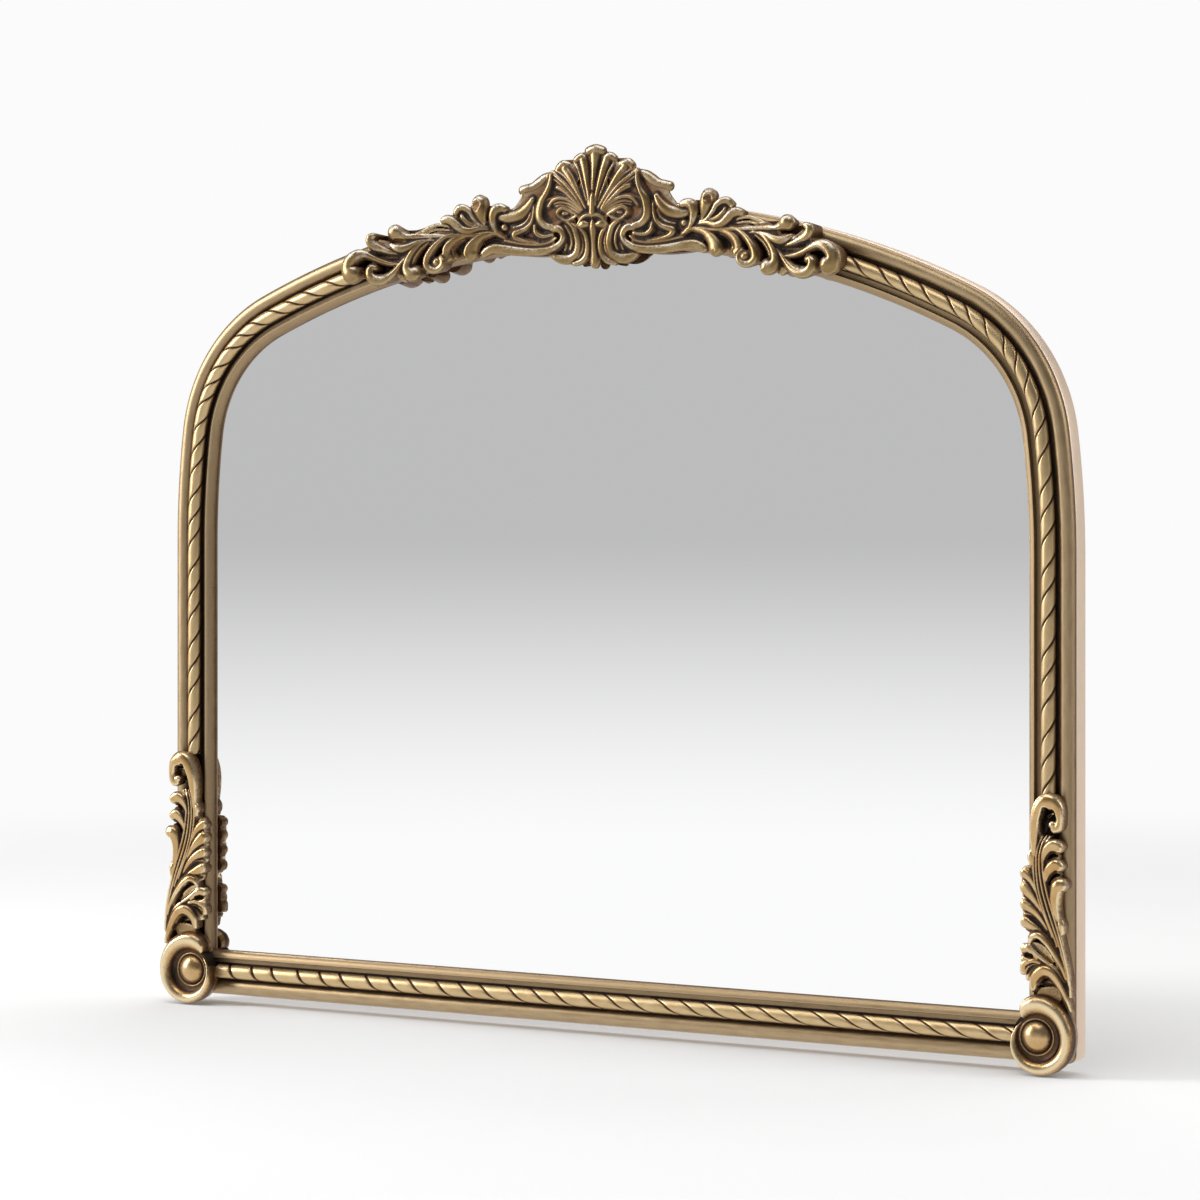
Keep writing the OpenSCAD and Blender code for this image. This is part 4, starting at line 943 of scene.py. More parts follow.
sprayStrokes = [
    (plain, [(101.4, 204.6, 3.6, 8.2), (105.6, 205.4, 4.2, 9), (111.4, 203.6, 5, 9.6), (114, 198, 4.4, 9.8),
             (113.6, 191, 3.8, 9.4), (111.4, 185, 2.8, 8.8), (107.6, 179.6, 1.8, 8.2),
             (101, 175.6, 1.2, 7.2)]),
    (plain, [(123.6, 190, 1.6, 9), (126.6, 197, 5, 10), (129, 205.6, 7.6, 10.2), (130.2, 210.6, 7.8, 9.6)]),
    (plain, [(121, 187, 1.4, 8.4), (129, 189.4, 2.2, 9.6), (135.6, 196, 2.6, 10.6), (140, 202.6, 2.9, 11),
             (146, 206.2, 3.2, 11.2), (152.4, 206.4, 3.4, 11), (155.8, 203.2, 3.2, 10.6)]),
    (plain, [(133, 188.2, 2.6, 9.6), (141, 190, 3.4, 10), (147, 194.4, 3.2, 10.2), (149.6, 198.6, 2.2, 9.8)]),
    ({"lean": 0.2}, [(120, 185, 1.2, 8.8), (130, 185.4, 2.6, 10.4), (139, 183.2, 3.4, 12),
                     (147, 184.4, 4.2, 13.2), (153.4, 189, 4.6, 14.2), (159, 193.6, 4.5, 14.8),
                     (164.6, 195.2, 4.2, 14.8), (168.6, 194.4, 3.6, 14.4)]),
    (plain, [(158, 186.4, 1.1, 11.4), (167, 189.2, 1.5, 12.4), (177, 189.8, 1.6, 13), (186, 187.2, 1.8, 13.6),
             (193, 184, 1.8, 14), (198.6, 181.6, 1.2, 13.6)]),
    (sharpRidge, [(160, 184, 1, 11.4), (172, 185.2, 1.2, 12), (180, 184.8, 1.2, 12.6),
                  (188, 182, 1.4, 13.2)]),
    (plain, [(106, 179.6, 1.2, 8.4), (120, 180.6, 1.8, 9.4), (135, 178.8, 2, 11), (150, 179, 2, 12.6),
             (165, 178.4, 2, 14.2), (180, 178.8, 2, 15.8), (195, 178.6, 2, 17.4), (211, 177.6, 1.8, 19)]),
    (sharpRidge, [(165, 175.4, 1.1, 13.4), (180, 174.8, 1.3, 15.4), (195, 174.4, 1.3, 17),
                  (213, 171.8, 1.1, 18.6)]),
    ({"lean": 0.45}, [(116, 179.4, 1.4, 9.2), (126, 176.8, 3, 10.4), (133.6, 171.4, 5.2, 11.2),
                      (138.2, 165, 6.8, 11.6), (139.2, 160.6, 7.4, 11.6)]),
    (sharpRidge, [(145, 174.6, 0.9, 10.8), (153, 171.6, 1.2, 11.4), (158, 166.6, 1.3, 11.6),
                  (158.6, 161, 1.3, 11.6), (156, 156.8, 1.1, 11)]),
    ({"lean": 0.35}, [(143, 177.6, 1.4, 11.4), (152, 175.8, 2.6, 12.8), (160, 171.4, 4, 13.8),
                      (164.8, 165.4, 4.6, 14.4), (165, 160, 4.4, 14.2), (162.4, 156.8, 3.6, 13.6)]),
    ({"lean": 0.3}, [(158, 180.4, 1, 13.4), (166, 177.4, 1.7, 15), (174.4, 171.6, 2.4, 16.8),
                     (181, 164.2, 3.1, 18.2), (185.2, 156.4, 3.6, 19), (185.6, 149.6, 3.8, 19.4),
                     (181, 145.2, 3.6, 19.4), (174.4, 144.6, 3.3, 19.2), (169.2, 147.8, 3.1, 18.8),
                     (168, 152.6, 2.7, 18.2), (170.4, 156.6, 2, 17.4)]),
    (plain, [(174.4, 151.6, 4.2, 18), (175, 152, 4.2, 18)]),
    ({"lean": 0.2}, [(182, 176.2, 1, 15.4), (192, 172.6, 1.7, 17), (199, 167, 2.4, 18.6),
                     (204.6, 160, 3.1, 19.8), (208, 152.4, 3.8, 20.6), (208.2, 146, 5, 21),
                     (204.6, 141.4, 6.6, 21.2), (199.6, 140.8, 6.8, 21)]),
    (sharpRidge, [(185, 172.4, 1, 15.8), (194, 165.6, 1.3, 17), (200, 157.8, 1.4, 18),
                  (203.4, 149.4, 1.4, 18.4)]),
    (plain, [(187, 179.6, 1.4, 16), (200, 179.4, 2, 18), (209, 178.8, 2.6, 19.8), (215.4, 180.6, 4.4, 21.2),
             (220.4, 183, 6.8, 22.4), (223, 183.2, 6.8, 22.4)]),
    (plain, [(190, 175, 1.2, 16.4), (199, 172.2, 2.2, 18.6), (206, 168.6, 3.4, 20.4), (214, 166.4, 3.9, 21.6),
             (221, 167.6, 3.4, 22), (226.4, 170.6, 1.8, 21.6)]),
    ({"lean": -0.2}, [(219, 161.4, 1.2, 19.4), (228, 163.6, 2.3, 22), (236, 166.6, 3.2, 24.2),
                      (243, 169.2, 4.2, 26), (247.8, 173, 4.5, 27.2), (248.2, 177.6, 4.2, 27.4),
                      (244.8, 180, 2.8, 27)]),
    (sharpRidge, [(222, 164.6, 1, 19.6), (230, 168.6, 1.6, 21), (236, 171.6, 1.8, 22),
                  (239.4, 174.6, 1.4, 22.2)]),
    (sharpRidge, [(211, 159, 0.9, 17), (225, 157.6, 1.2, 18.6), (240, 159, 1.2, 20.6),
                  (252, 161.4, 1, 22.4)]),
    (sharpRidge, [(213, 155.8, 0.9, 17), (226, 154.2, 1.2, 18.6), (241, 155.8, 1.2, 20.6),
                  (251, 158, 1, 22.4)]),
    ({"lean": -0.15}, [(217, 151, 1.1, 19.6), (229, 152, 1.6, 21), (240, 155.2, 2.1, 23),
                       (249.6, 159.4, 2.8, 25.2), (257.6, 161.8, 3.9, 27), (265.4, 160.2, 5.2, 28.2),
                       (272, 155, 6.4, 28.8), (274.4, 148.4, 7, 29), (272.4, 143.2, 8.6, 29),
                       (270, 141.6, 9.2, 28.8)]),
    (plain, [(210, 158.4, 1.2, 19), (215.8, 151.6, 1.9, 20), (221.2, 144.8, 2.5, 21.2),
             (227.6, 138.8, 3.5, 22.6), (235, 135, 4.5, 24), (242.8, 134.8, 5, 25), (248.8, 138.6, 5.2, 25.4),
             (250.2, 144, 4.8, 25.2), (247.6, 147.8, 3.2, 24.6), (244.6, 147.4, 2.1, 24)]),
    (plain, [(213.4, 144, 2.2, 14), (216, 139.6, 4.2, 15.4), (214, 136.4, 3.4, 14.6)]),
]
spraySinks = [
    [(131.4, 209.6, 4.6, 2.2), (132.6, 206.4, 3.4, 1.6)],
]
sprayGrounds = [
    [(108, 186, 8, 4), (122, 184, 9, 4.4), (136, 180, 13, 5), (150, 176, 15, 5.6), (166, 172, 13, 6.2),
     (182, 168, 13, 6.8), (198, 166, 13, 7.4), (214, 162, 12, 8), (230, 158, 12, 8.8), (246, 156, 12, 9.6),
     (260, 152, 11, 10.4)],
    [(140, 192, 9, 6.6), (148, 196, 8, 7)],
    [(122, 178, 6, 4.6), (130, 172, 5, 5), (134, 164, 4, 5)],
    [(150, 166, 8, 5), (170, 160, 10, 5.6), (190, 158, 12, 6.4), (206, 152, 8, 7), (222, 150, 9, 8),
     (240, 146, 10, 9), (258, 146, 9, 9.6)],
]


def raised(points, share, fuller=1.0):
    return [(x, z, w * fuller, h + share * w) for x, z, w, h in points]


def crestField():
    look = reliefLook
    field = newField(*look["crestArea"], look["step"])
    for group, grounds in enumerate((shellGrounds, scrollGrounds, sprayGrounds)):
        for points in grounds:
            drawGround(field, points, group)
    for group, strokes in enumerate((shellStrokes, scrollStrokes, sprayStrokes)):
        for form, points in strokes:
            fuller = 1.0 if form is sharpRidge else look["sprayFuller"]
            own = raised(points, look["sprayRaise"], fuller) if group == 2 else points
            drawStroke(field, own, group, **form)
            if min(p[0] for p in points) < look["centreReach"]:  # the other half's stroke reaches over
                other = [(-x, z, w, h) for x, z, w, h in points]
                drawStroke(field, other, group, **{**form, "lean": -form.get("lean", 0.0)})
    drawStroke(field, shellDish, 0, round=0.0, dip=3.0)
    for points in spraySinks:
        drawSink(field, points)
    finishField(field, look["crestDust"], look["crestRidge"], look["crestUndercut"])
    return field


def buildCrest():
    field = crestField()
    cells, group = openCells(field), field["group"][:-1, :-1]
    full = {}
    for key, data in field.items():
        if isinstance(data, np.ndarray):
            flip = -data[:0:-1] if key in ("x", "inX") else data[:0:-1]
            full[key] = np.concatenate([flip, data], axis=0)
    shell = cells & (group == 0)
    both = np.concatenate([shell[::-1], shell], axis=0)
    reliefMesh("crestShell", full, both, "crest_shell", carvedGold)
    for g, word in ((1, "Scroll"), (2, "Spray")):
        node = "crest_" + word.lower()
        right = reliefMesh("rightCrest" + word, field, cells & (group == g), node + "_right", carvedGold)
        mirrored(right, "leftCrest" + word, node + "_left")


# upper: half width and height above the crown of each corner, the first one on the crown's edge
# the shell's back gets a fixed wash and painted shade
shellBackShape = {"upper": [(37, None), (35.2, 29), (29.8, 32.4), (22.8, 37.6), (15, 38.6), (8.8, 44)],
                  "edge": 0.5, "steps": 31, "depths": (-1.0, 8.0), "recess": 0.5}


# Above the frame the shell is thicker and reaches back behind the moulding's face
def buildShellBack():
    p = shellBackShape
    edge, wide = crownR + p["edge"], p["upper"][0][0]

    def onEdge(x):
        return math.sqrt(edge ** 2 - x ** 2) + crownCz

    side = [(x, onEdge(x) if z is None else crownZ + z) for x, z in p["upper"]]
    low = [(x, onEdge(x)) for x in np.linspace(-wide, wide, p["steps"])[1:-1]]
    ring = side + [(-x, z) for x, z in reversed(side)] + low
    n = len(ring)
    verts = [(x * mm, (outline["carve"] + y) * mm, z * mm) for y in p["depths"] for x, z in ring]
    faces = [(i, (i + 1) % n, n + (i + 1) % n, n + i) for i in range(n)]
    faces += [tuple(range(n)), tuple(range(n, 2 * n))]
    mesh = makeMesh("crestShellBack", verts, faces, carvedGold, {"recess": [p["recess"]] * (2 * n)})
    seatPiece(addObject("crestShellBack", mesh), "crest_shell")


buildCrest()
buildShellBack()
print("crest ready")

leafStrokes = [
    (plain, [(475, -412, 2.6, 12), (475.2, -398, 4.2, 14), (476.2, -383, 5.4, 15.6),
             (479.4, -371.6, 6.8, 16.4), (484.8, -362.4, 8, 16.8), (491.6, -360.4, 8, 16.8),
             (498, -364, 6.2, 16.4), (501, -370.6, 4.6, 15.8), (501.8, -377, 3.7, 15.6),
             (500, -383.4, 4.6, 15.4), (496.4, -385.4, 4, 15.2)]),
    (plain, [(494.2, -381.4, 3.6, 15.6), (494.8, -381.8, 3.6, 15.6)]),
    (sharpRidge, [(480, -391, 1, 11), (476.4, -402, 1.2, 12.4), (474.8, -412, 1.3, 13),
                  (474.9, -424, 1.3, 13.4), (476.2, -436, 1.3, 13.6), (479.4, -449, 1.3, 13.8),
                  (484, -461.6, 1.3, 14), (489.4, -474, 1.3, 14), (494, -486, 1.2, 13.8)]),
    (sharpRidge, [(483.4, -391.4, 1, 11), (479.4, -402, 1.2, 12.6), (477.7, -413, 1.4, 13.4),
                  (478, -426, 1.4, 13.8), (479.8, -440, 1.4, 14), (483.2, -453, 1.4, 14.2),
                  (488.2, -467, 1.4, 14.4), (493.6, -480, 1.4, 14.4), (499, -494, 1.2, 14.2)]),
    (sharpRidge, [(487, -392, 1, 11), (483, -401, 1.2, 12.6), (480.8, -413, 1.4, 13.6),
                  (481.4, -427, 1.5, 14), (483.8, -441, 1.5, 14.2), (487.8, -455, 1.5, 14.4),
                  (492.8, -469, 1.5, 14.6), (498.2, -484, 1.5, 14.6), (503, -499, 1.4, 14.4),
                  (507.4, -515, 1.3, 13.8), (510.4, -530, 1.1, 13)]),
    (sharpRidge, [(490.4, -393, 1, 11), (486.8, -400, 1.3, 12.8), (484.4, -412, 1.5, 13.8),
                  (485, -427, 1.6, 14.2), (487.8, -441, 1.6, 14.4), (491.8, -455, 1.6, 14.6),
                  (497, -470, 1.6, 14.8), (502.4, -487, 1.6, 14.6), (507, -504, 1.5, 14.2),
                  (510.4, -522, 1.4, 13.4), (512, -540, 1.2, 12.4)]),
    ({"lean": 0.3}, [(483.8, -417, 1.6, 13), (486.2, -408.6, 3.4, 14.4), (490.6, -402.6, 5.2, 15),
                     (496, -400.8, 6.2, 15.2), (499.8, -402.4, 5.6, 15)]),
    ({"lean": 0.3}, [(486.4, -436, 1.6, 13), (488.6, -427.4, 3.6, 14.6), (492.6, -421.4, 5.4, 15.2),
                     (497.2, -418.8, 6, 15.4), (500.6, -420.2, 5, 15.2)]),
    ({"lean": 0.1}, [(503.4, -437, 6.6, 16.4), (499.8, -438.2, 6.6, 16.8), (497.4, -444.6, 5.6, 16.2),
                     (496.4, -451.6, 5, 15.4), (497, -458.6, 4.4, 14.8), (498.6, -465.4, 3.4, 14.2),
                     (500.4, -471.2, 2, 13.4)]),
    (plain, [(501.4, -469.6, 2.6, 13), (502.4, -474.8, 3.8, 13.8), (503.2, -481.4, 2.6, 13)]),
    (plain, [(474.4, -404, 1.5, 11), (471.8, -409, 2.9, 12.6), (471.4, -414.4, 3.1, 12.8),
             (473.4, -420, 1.7, 11.6)]),
    ({"lean": 0.2}, [(464.8, -428.2, 5.2, 12), (469.4, -431.4, 4.2, 12.8), (473.6, -437, 3, 13),
                     (477.2, -444.6, 2, 12.8), (480.4, -453, 1.2, 12)]),
    ({"lean": 0.2}, [(466.2, -441.8, 6.8, 12), (470.8, -446.6, 5.6, 13), (475.8, -452.6, 4.2, 13.2),
                     (481, -460, 2.8, 13), (485.6, -468, 1.5, 12.2)]),
    ({"lean": 0.2}, [(465.6, -457.4, 5.7, 12), (471.2, -460, 5, 13), (477.4, -464.6, 3.9, 13.2),
                     (483.6, -471.6, 2.7, 13), (489.2, -480.4, 1.5, 12.2)]),
    ({"lean": 0.2}, [(466.2, -473.6, 6.1, 12), (472, -476.4, 5, 13), (478.6, -479.4, 3.6, 13.2),
                     (485.6, -484.8, 2.5, 13), (492, -492, 1.4, 12.2)]),
    (sharpRidge, [(468.6, -424.4, 0.9, 11), (473, -429, 1, 11.4), (476.4, -436, 1, 11.4)]),
    (sharpRidge, [(464, -435.2, 0.9, 11), (470.6, -438.4, 1, 11.6), (476, -445, 1, 11.8),
                  (480.6, -453, 0.9, 11.8)]),
    (sharpRidge, [(464, -451.2, 0.9, 11), (471.4, -453.4, 1, 11.6), (478, -459, 1, 11.8),
                  (483.6, -466.6, 0.9, 11.8)]),
    (sharpRidge, [(465.4, -465.8, 0.9, 11), (473.4, -466.8, 1, 11.6), (480.8, -472.4, 1, 11.8),
                  (486.8, -480.4, 0.9, 11.8)]),
    ({"lean": -0.3}, [(470.8, -491.4, 1.9, 13.6), (474.4, -486, 2.8, 15), (480.4, -484.8, 3.2, 16),
                      (487.2, -489, 3.1, 16.4), (493.4, -496.4, 2.8, 16.2), (499, -504.6, 2.5, 15.8),
                      (504, -513.6, 2.1, 15), (507.6, -523, 1.6, 14)]),
    (plain, [(470.4, -494.4, 1.5, 12.6), (474.4, -499.4, 1.8, 13.6), (480.2, -504.2, 2, 14.2),
             (487, -508.6, 2, 14.2), (494, -512.8, 1.9, 14), (500, -518.4, 1.7, 13.6),
             (505.6, -527, 1.3, 12.6)]),
    (plain, [(465, -498.2, 5, 11.6), (469.4, -497.8, 4.2, 12.8), (474, -501.4, 3, 13.2),
             (478.4, -506, 2.2, 13.4)]),
    (plain, [(463.6, -507.6, 2.4, 11.4), (469, -509.8, 2.2, 12.6), (475.4, -509, 2.2, 13.2),
             (481, -510.4, 2.2, 13.4)]),
    (plain, [(463, -519.6, 3.4, 10.8), (464, -513.4, 3.4, 11.6), (468.6, -510.6, 2.6, 12.6)]),
    (sharpRidge, [(465, -522, 1.3, 10), (468, -516, 1.3, 10.8), (473, -513, 1.2, 11.6),
                  (479, -512, 1.1, 12.4)]),
    (plain, [(467.4, -526, 2.4, 9), (471, -520.6, 2.2, 10), (475.4, -515.8, 1.8, 11)]),
    ({"lean": 0.2}, [(474, -535, 3.2, 12.4), (475.2, -526.8, 4.6, 14), (480.4, -519.8, 5.5, 15.4),
                     (487, -517.2, 5.6, 16), (493.8, -519.8, 4.9, 15.8), (499.6, -526.6, 4, 15.2),
                     (504.6, -535.4, 3.2, 14.4), (508.8, -545, 2.6, 13.4), (511.4, -553, 1.7, 12.4)]),
]
leafGrounds = [
    [(482, -380, 6, 3.4), (478, -396, 5, 3.6), (480, -410, 9, 4), (482, -424, 13, 4.6), (484, -440, 15, 5),
     (486, -456, 14, 5), (488, -470, 13, 5), (490, -482, 11, 5), (497, -492, 8, 5), (503, -508, 6, 4.6),
     (507, -524, 4.5, 4.2), (509.4, -540, 3, 3.8)],
    [(470, -500, 5, 4.6), (472, -508, 5, 4.6), (480, -513, 6, 4.6), (492, -516, 5, 4.6)],
    [(478, -528, 4, 4), (486, -524, 5, 4.2), (496, -528, 5, 4.2), (503, -538, 4, 4)],
    [(467, -426, 5, 5.4), (468.4, -440, 6.6, 5.4), (468, -456, 6, 5.4), (469, -472, 6, 5.4),
     (474, -484, 6, 5.4)],
    [(467, -502, 5.6, 5.4), (467, -512, 5.4, 5.4), (470, -520, 5.4, 5.4)],
    [(490, -402, 7, 6), (492, -414, 7.6, 6.4), (493, -430, 7.6, 6.4), (494, -446, 6.6, 6.4),
     (496, -462, 4.6, 6.2), (499, -476, 3.4, 5.8)],
    [(497, -538, 6, 4.2), (502.6, -547, 6, 4), (506.6, -551.6, 4, 4)],
]
# each floor's darkness is painted: the near black ones are painted shade in slots and holes, the light ones a
# light wash
leafFloors = [  # stroke, shade
    ([(475, -493.4, 2, 9), (480.4, -496.4, 3.2, 9), (486.6, -501.2, 3.2, 9), (493, -508.2, 1.8, 9)], 0.16),
    ([(483.6, -541.6, 8.4, 7), (492.6, -540.6, 8.8, 7)], 0.26),
    ([(487.8, -368, 2.2, 2), (487.2, -374, 3.6, 2), (485.6, -382, 4, 2), (484.6, -389, 2.8, 2)], 0.95),
    ([(494, -371, 3, 2), (492, -374.6, 3.2, 2)], 0.95),
    ([(466.4, -504.2, 1.6, 7.6), (472.6, -504.6, 1.6, 7.6)], 0.85),
]
leafTops = [  # drawn over the floors
    (sharpRidge, [(496, -370.6, 0.9, 6), (490.6, -372.6, 1.1, 6), (485.6, -379, 1.1, 6),
                  (483, -389, 1.1, 6)]),
    (plain, [(494.2, -381.4, 3.6, 16.2), (494.8, -381.8, 3.6, 16.2)]),
]


def buildLeaves():
    field = newField(*reliefLook["leafArea"], reliefLook["leafStep"])
    for points in leafGrounds:
        drawGround(field, points, 0)
    for form, points in leafStrokes:
        drawStroke(field, raised(points, reliefLook["leafRaise"]), 0, **form)
    for points, tone in leafFloors:
        drawFloor(field, points, tone)
    for form, points in leafTops:
        drawStroke(field, points, 0, **form)
    finishField(field)
    right = reliefMesh("rightCornerLeaf", field, openCells(field), "corner_leaf_right", cornerGold)
    mirrored(right, "leftCornerLeaf", "corner_leaf_left")


buildLeaves()
print("corner leaves ready")


# volutes and rosettes
# Point at a distance and an angle from a centre, and at a height above the carvings' seat
def turnedPoint(centre, angle, r, rise):
    x, z = centre[0] + math.cos(angle) * r, centre[1] + math.sin(angle) * r
    return x * mm, (outline["carve"] - rise) * mm, (z + drawingZero) * mm


# rows: vertex, recess and ridge; gives the piece and its twin on the left
def buildPair(word, rows, faces, node):
    verts, recess, ridge = zip(*rows)
    mesh = makeMesh("right" + word, verts, faces, cornerGold, {"recess": recess, "ridge": ridge}, sharp=50)
    right = seatPiece(addObject("right" + word, mesh), node + "_right")
    mirrored(right, "left" + word, node + "_left")


voluteShape = {"centre": (480.2, -580.6), "inner": 21.6, "steps": 150, "ring": 17, "crest": 0.6,
               "skirt": 0.3, "inLow": 0.56, "outLow": 0.5, "roundness": 2.1, "washAndShade": 0.85}
# angle in degrees from +x, clockwise seen from the front; width of the band and its height
voluteBand = [(140, 1.0, 13), (160, 3.6, 16), (180, 6.0, 18), (205, 8.8, 19.4), (235, 11.2, 20.2),
              (270, 13.0, 20.6), (300, 13.8, 20.8), (330, 14.0, 20.8), (360, 14.0, 20.8), (390, 15.2, 20.8),
              (415, 17.4, 20.6), (440, 19.0, 20.2), (460, 18.8, 19.6), (474, 17.0, 18.6), (484, 13.4, 17.4),
              (490, 8.0, 15.6)]


# A band round the rosette's recess: it swells from a thin tail at the left to a rounded head at the top
def buildVolutes():
    p, (turns, widths, tops) = voluteShape, np.array(voluteBand).T
    crest, skirt, rows = p["crest"], p["skirt"], []
    for turn in np.linspace(turns[0], turns[-1], p["steps"]):
        width, top = np.interp(turn, turns, widths), np.interp(turn, turns, tops)
        # recess and ridge: wash and painted shade at the foot, on the flanks and the outer wall, painted
        # highlight along the crest
        section = [(0.0, 0.0, 0.9, 0), (0.0, top * skirt, 0.9, 0)]
        for k in range(p["ring"]):
            u = k / (p["ring"] - 1)
            low, off = p["inLow"], (crest - u) / crest
            if u >= crest:
                low, off = p["outLow"], (u - crest) / (1 - crest)
            bulge = math.sqrt(max(0.0, 1 - off ** p["roundness"]))
            rise = top * (low + (1 - low) * bulge)
            section.append((width * u, rise, p["washAndShade"] * (1 - bulge) ** 0.9, bulge ** 5))
        section += [(width - 0.5, top * skirt, 0.35, 0), (width - 2.5 * width / 20, 0.0, 0.4, 0)]
        rows += [(turnedPoint(p["centre"], math.radians(turn), p["inner"] + out, rise), hollow, bright)
                 for out, rise, hollow, bright in section]
    buildPair("Volute", rows, tubeFaces(p["steps"], len(section)), "corner_volute")


buildVolutes()
print("volutes ready")

rosetteShape = {"centre": (478.0, -579.6), "dish": 23.4, "floor": 12.2, "ringR": 17.0, "ringWidth": 0.9,
                "ringSteps": 6, "domeR": 14.4, "domeTop": 20.4, "domeFoot": 1.2, "domeSteps": 15, "sides": 72}


# Turned dish with a fine ring and a domed button
def buildRosettes():
    p = rosetteShape
    dish, floor, ringR, domeR, top = (p[key] for key in ("dish", "floor", "ringR", "domeR", "domeTop"))
    domeRise = top - floor - p["domeFoot"]
    ballR = (domeR ** 2 + domeRise ** 2) / (2 * domeRise)
    # recess: wash and painted shade in the dish, round the ring and at the dome's foot; ridge: painted
    # highlight on the ring and the dome
    profile = [(dish, 0.0, 1, 0), (dish, floor + 2.2, 0.9, 0), (dish - 0.8, floor + 1.4, 0.9, 0),
               (dish - 2.2, floor + 0.4, 0.75, 0), (ringR + 2.2, floor, 0.7, 0)]
    for k in range(p["ringSteps"] + 1):
        a = math.pi * k / p["ringSteps"]
        profile.append((ringR + p["ringWidth"] * math.cos(a), floor + math.sin(a), 0.55 - 0.35 * math.sin(a),
                        0.3 * math.sin(a)))
    profile += [(ringR - 1.6, floor - 0.2, 0.9, 0), (domeR + 0.8, floor - 0.2, 1, 0),
                (domeR + 0.1, floor + 0.3, 0.9, 0)]
    for k in range(p["domeSteps"]):
        r = domeR * math.cos(math.pi / 2 * k / p["domeSteps"])
        profile.append((r, top - ballR + math.sqrt(ballR ** 2 - r ** 2), 0.5 * (r / domeR) ** 6, 0.3))
    n, m = p["sides"], len(profile)
    rows = [(turnedPoint(p["centre"], 2 * math.pi * i / n, r, rise), hollow, bright)
            for i in range(n) for r, rise, hollow, bright in profile]
    faces = [(i * m + j, i * m + j + 1, (i + 1) % n * m + j + 1, (i + 1) % n * m + j)
             for i in range(n) for j in range(m - 1)]
    rows += [(turnedPoint(p["centre"], 0, 0, top), 0, 0.3), (turnedPoint(p["centre"], 0, 0, 0), 1, 0)]
    for i in range(n):
        k = (i + 1) % n
        faces += [(i * m + m - 1, n * m, k * m + m - 1), (i * m, k * m, n * m + 1)]
    buildPair("Rosette", rows, faces, "rosette")


buildRosettes()
print("rosettes ready")


# screws at the back
screwShape = {"Sides": 28, "Top Share": 0.82, "Slot Width": 0.9 * mm, "Slot Depth": 0.6 * mm, "Seed": 7}
screwSizes = ("Head Radius", "Head Height", "Shank Radius", "Shank Length")
clipSpots = [  # x, z of the head's foot and the direction it points in
    (-300, -386.9, 0, 1), (0, -386.9, 0, 1), (300, -386.9, 0, 1), (473.9, -311.5, -1, 0),
    (473.9, -60, -1, 0), (-473.9, -311.5, 1, 0), (-473.9, -60, 1, 0), (440.93, 229.5, -0.809, -0.588),
    (-440.93, 229.5, 0.809, -0.588), (189.95, 340.33, -0.208, -0.978), (-189.95, 340.33, 0.208, -0.978)]
plateSpots = [(492, -405), (446, -405), (492, -359), (492, 34), (492, 66)]
strapSpots = [(492, -38), (492, -25)]


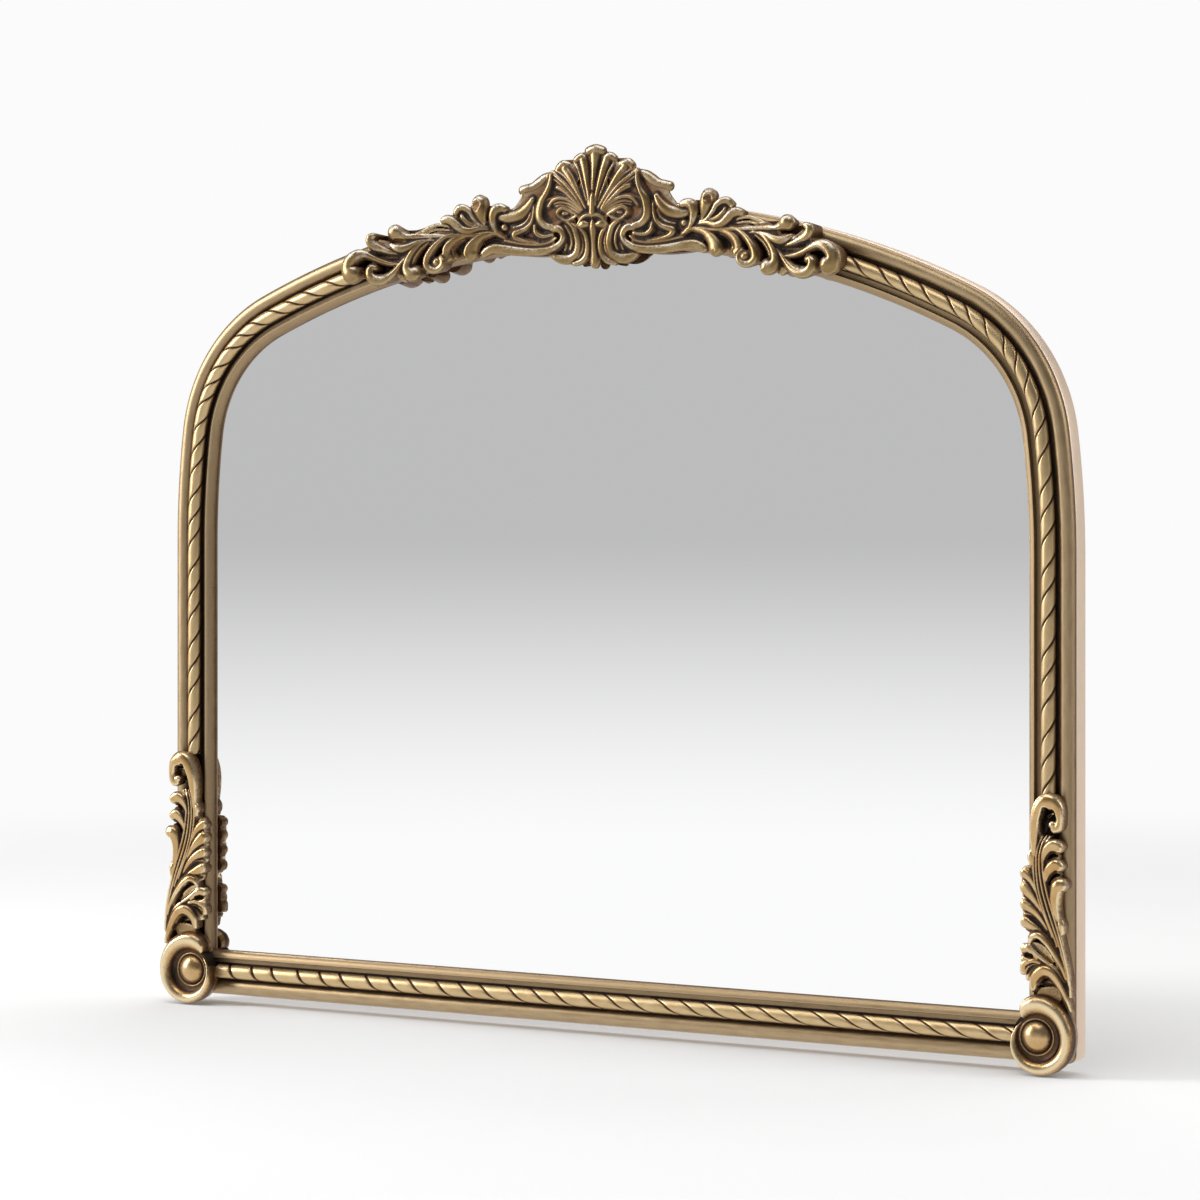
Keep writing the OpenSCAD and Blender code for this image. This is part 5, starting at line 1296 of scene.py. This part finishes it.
def screwGroup():
    floats = screwSizes + ("Top Share", "Slot Width", "Slot Depth")
    tree, given, gout, ids = geometryGroup("slottedScrews", floats, ("Sides", "Seed"))

    def calc(op, *values):
        return mathNode(tree, op, *values)

    def vector(*values):
        return addNode(tree, "ShaderNodeCombineXYZ", dict(enumerate(values))).outputs[0]

    def moved(geometry, z):
        sockets = {"Geometry": geometry, "Translation": vector(0.0, 0.0, z)}
        return addNode(tree, "GeometryNodeTransform", sockets).outputs["Geometry"]

    sockets = {"Vertices": given["Sides"], "Depth": given["Head Height"],
               "Radius Bottom": given["Head Radius"],
               "Radius Top": calc("MULTIPLY", given["Head Radius"], given["Top Share"])}
    head = addNode(tree, "GeometryNodeMeshCone", sockets).outputs["Mesh"]
    size = vector(calc("MULTIPLY", given["Head Radius"], 3.0), given["Slot Width"],
                  calc("MULTIPLY", given["Slot Depth"], 2.0))
    slot = addNode(tree, "GeometryNodeMeshCube", {"Size": size}).outputs["Mesh"]
    sockets = {0: head, 1: moved(slot, given["Head Height"])}
    cut = addNode(tree, "GeometryNodeMeshBoolean", sockets, operation="DIFFERENCE").outputs["Mesh"]
    sockets = {"Vertices": given["Sides"], "Radius": given["Shank Radius"], "Depth": given["Shank Length"]}
    shank = addNode(tree, "GeometryNodeMeshCylinder", sockets).outputs["Mesh"]
    sockets = {"Switch": calc("GREATER_THAN", given["Shank Length"], 0.0),
               "True": moved(shank, calc("MULTIPLY", given["Shank Length"], -0.5))}
    shown = addNode(tree, "GeometryNodeSwitch", sockets, input_type="GEOMETRY").outputs["Output"]
    both = addNode(tree, "GeometryNodeJoinGeometry", {0: cut})
    setSockets(tree, both, {0: shown})
    sockets = {"Vector": namedValue(tree, "aim", "FLOAT_VECTOR")}
    align = addNode(tree, "FunctionNodeAlignRotationToVector", sockets, axis="Z").outputs["Rotation"]
    sockets = {"Points": given["Geometry"], "Instance": both.outputs[0], "Rotation": align}
    placed = addNode(tree, "GeometryNodeInstanceOnPoints", sockets).outputs["Instances"]
    chance = addNode(tree, "FunctionNodeRandomValue", {"Seed": given["Seed"]}, data_type="FLOAT").outputs[1]
    sockets = {"Instances": placed, "Rotation": vector(0.0, 0.0, calc("MULTIPLY", chance, math.pi))}
    spun = addNode(tree, "GeometryNodeRotateInstances", sockets).outputs["Instances"]
    finishTree(tree, gout, spun, given["Material"])
    return tree, ids


def buildScrews():
    group, rear = screwGroup(), outline["backRear"]

    def pairs(spots, y):
        return [((side * x, y, z), (0, 1, 0)) for side in (-1, 1) for x, z in spots]

    clips = [((x, -14.2, z), (a, 0, b)) for x, z, a, b in clipSpots]
    for name, feet, sizes, node in (  # feet with directions, sizes of head and shank
            ("clipScrews", clips, (3.0, 1.3, 1.4, 0.0), "clip_screws"),
            ("plateScrews", pairs(plateSpots, rear + 1.5), (3.6, 1.3, 1.6, 0.0), "plate_screws"),
            ("strapScrews", pairs(strapSpots, rear + 1.0), (3.6, 1.3, 1.6, 1.0), "strap_screws")):
        mesh = bpy.data.meshes.new(name)
        mesh.from_pydata([tuple(v * mm for v in foot) for foot, _ in feet], [], [])
        aim = mesh.attributes.new("aim", "FLOAT_VECTOR", "POINT")
        aim.data.foreach_set("vector", np.array([way for _, way in feet], dtype=np.float32).ravel())
        obj = addObject(name, mesh)
        own = {key: v * mm for key, v in zip(screwSizes, sizes)}
        bakeTree(obj, group, {**screwShape, **own, "Material": zincSteel})
        seatPiece(obj, node)


buildScrews()
print("screws ready")

# glass, board and hardware at the back
backLook = {"mirror_glass": silvering, "backing_board": boardBrown, "board_clips": zincSteel,
            "joint_plates": zincSteel, "wall_bumpers": bumperBlack, "strap_left": zincSteel,
            "strap_right": zincSteel, "hang_ring_left": zincSteel, "hang_ring_right": zincSteel}
for node, mat in backLook.items():
    data = next(o for o in scene.objects if o.get("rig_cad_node") == node).data
    data.materials.clear()
    data.materials.append(mat)
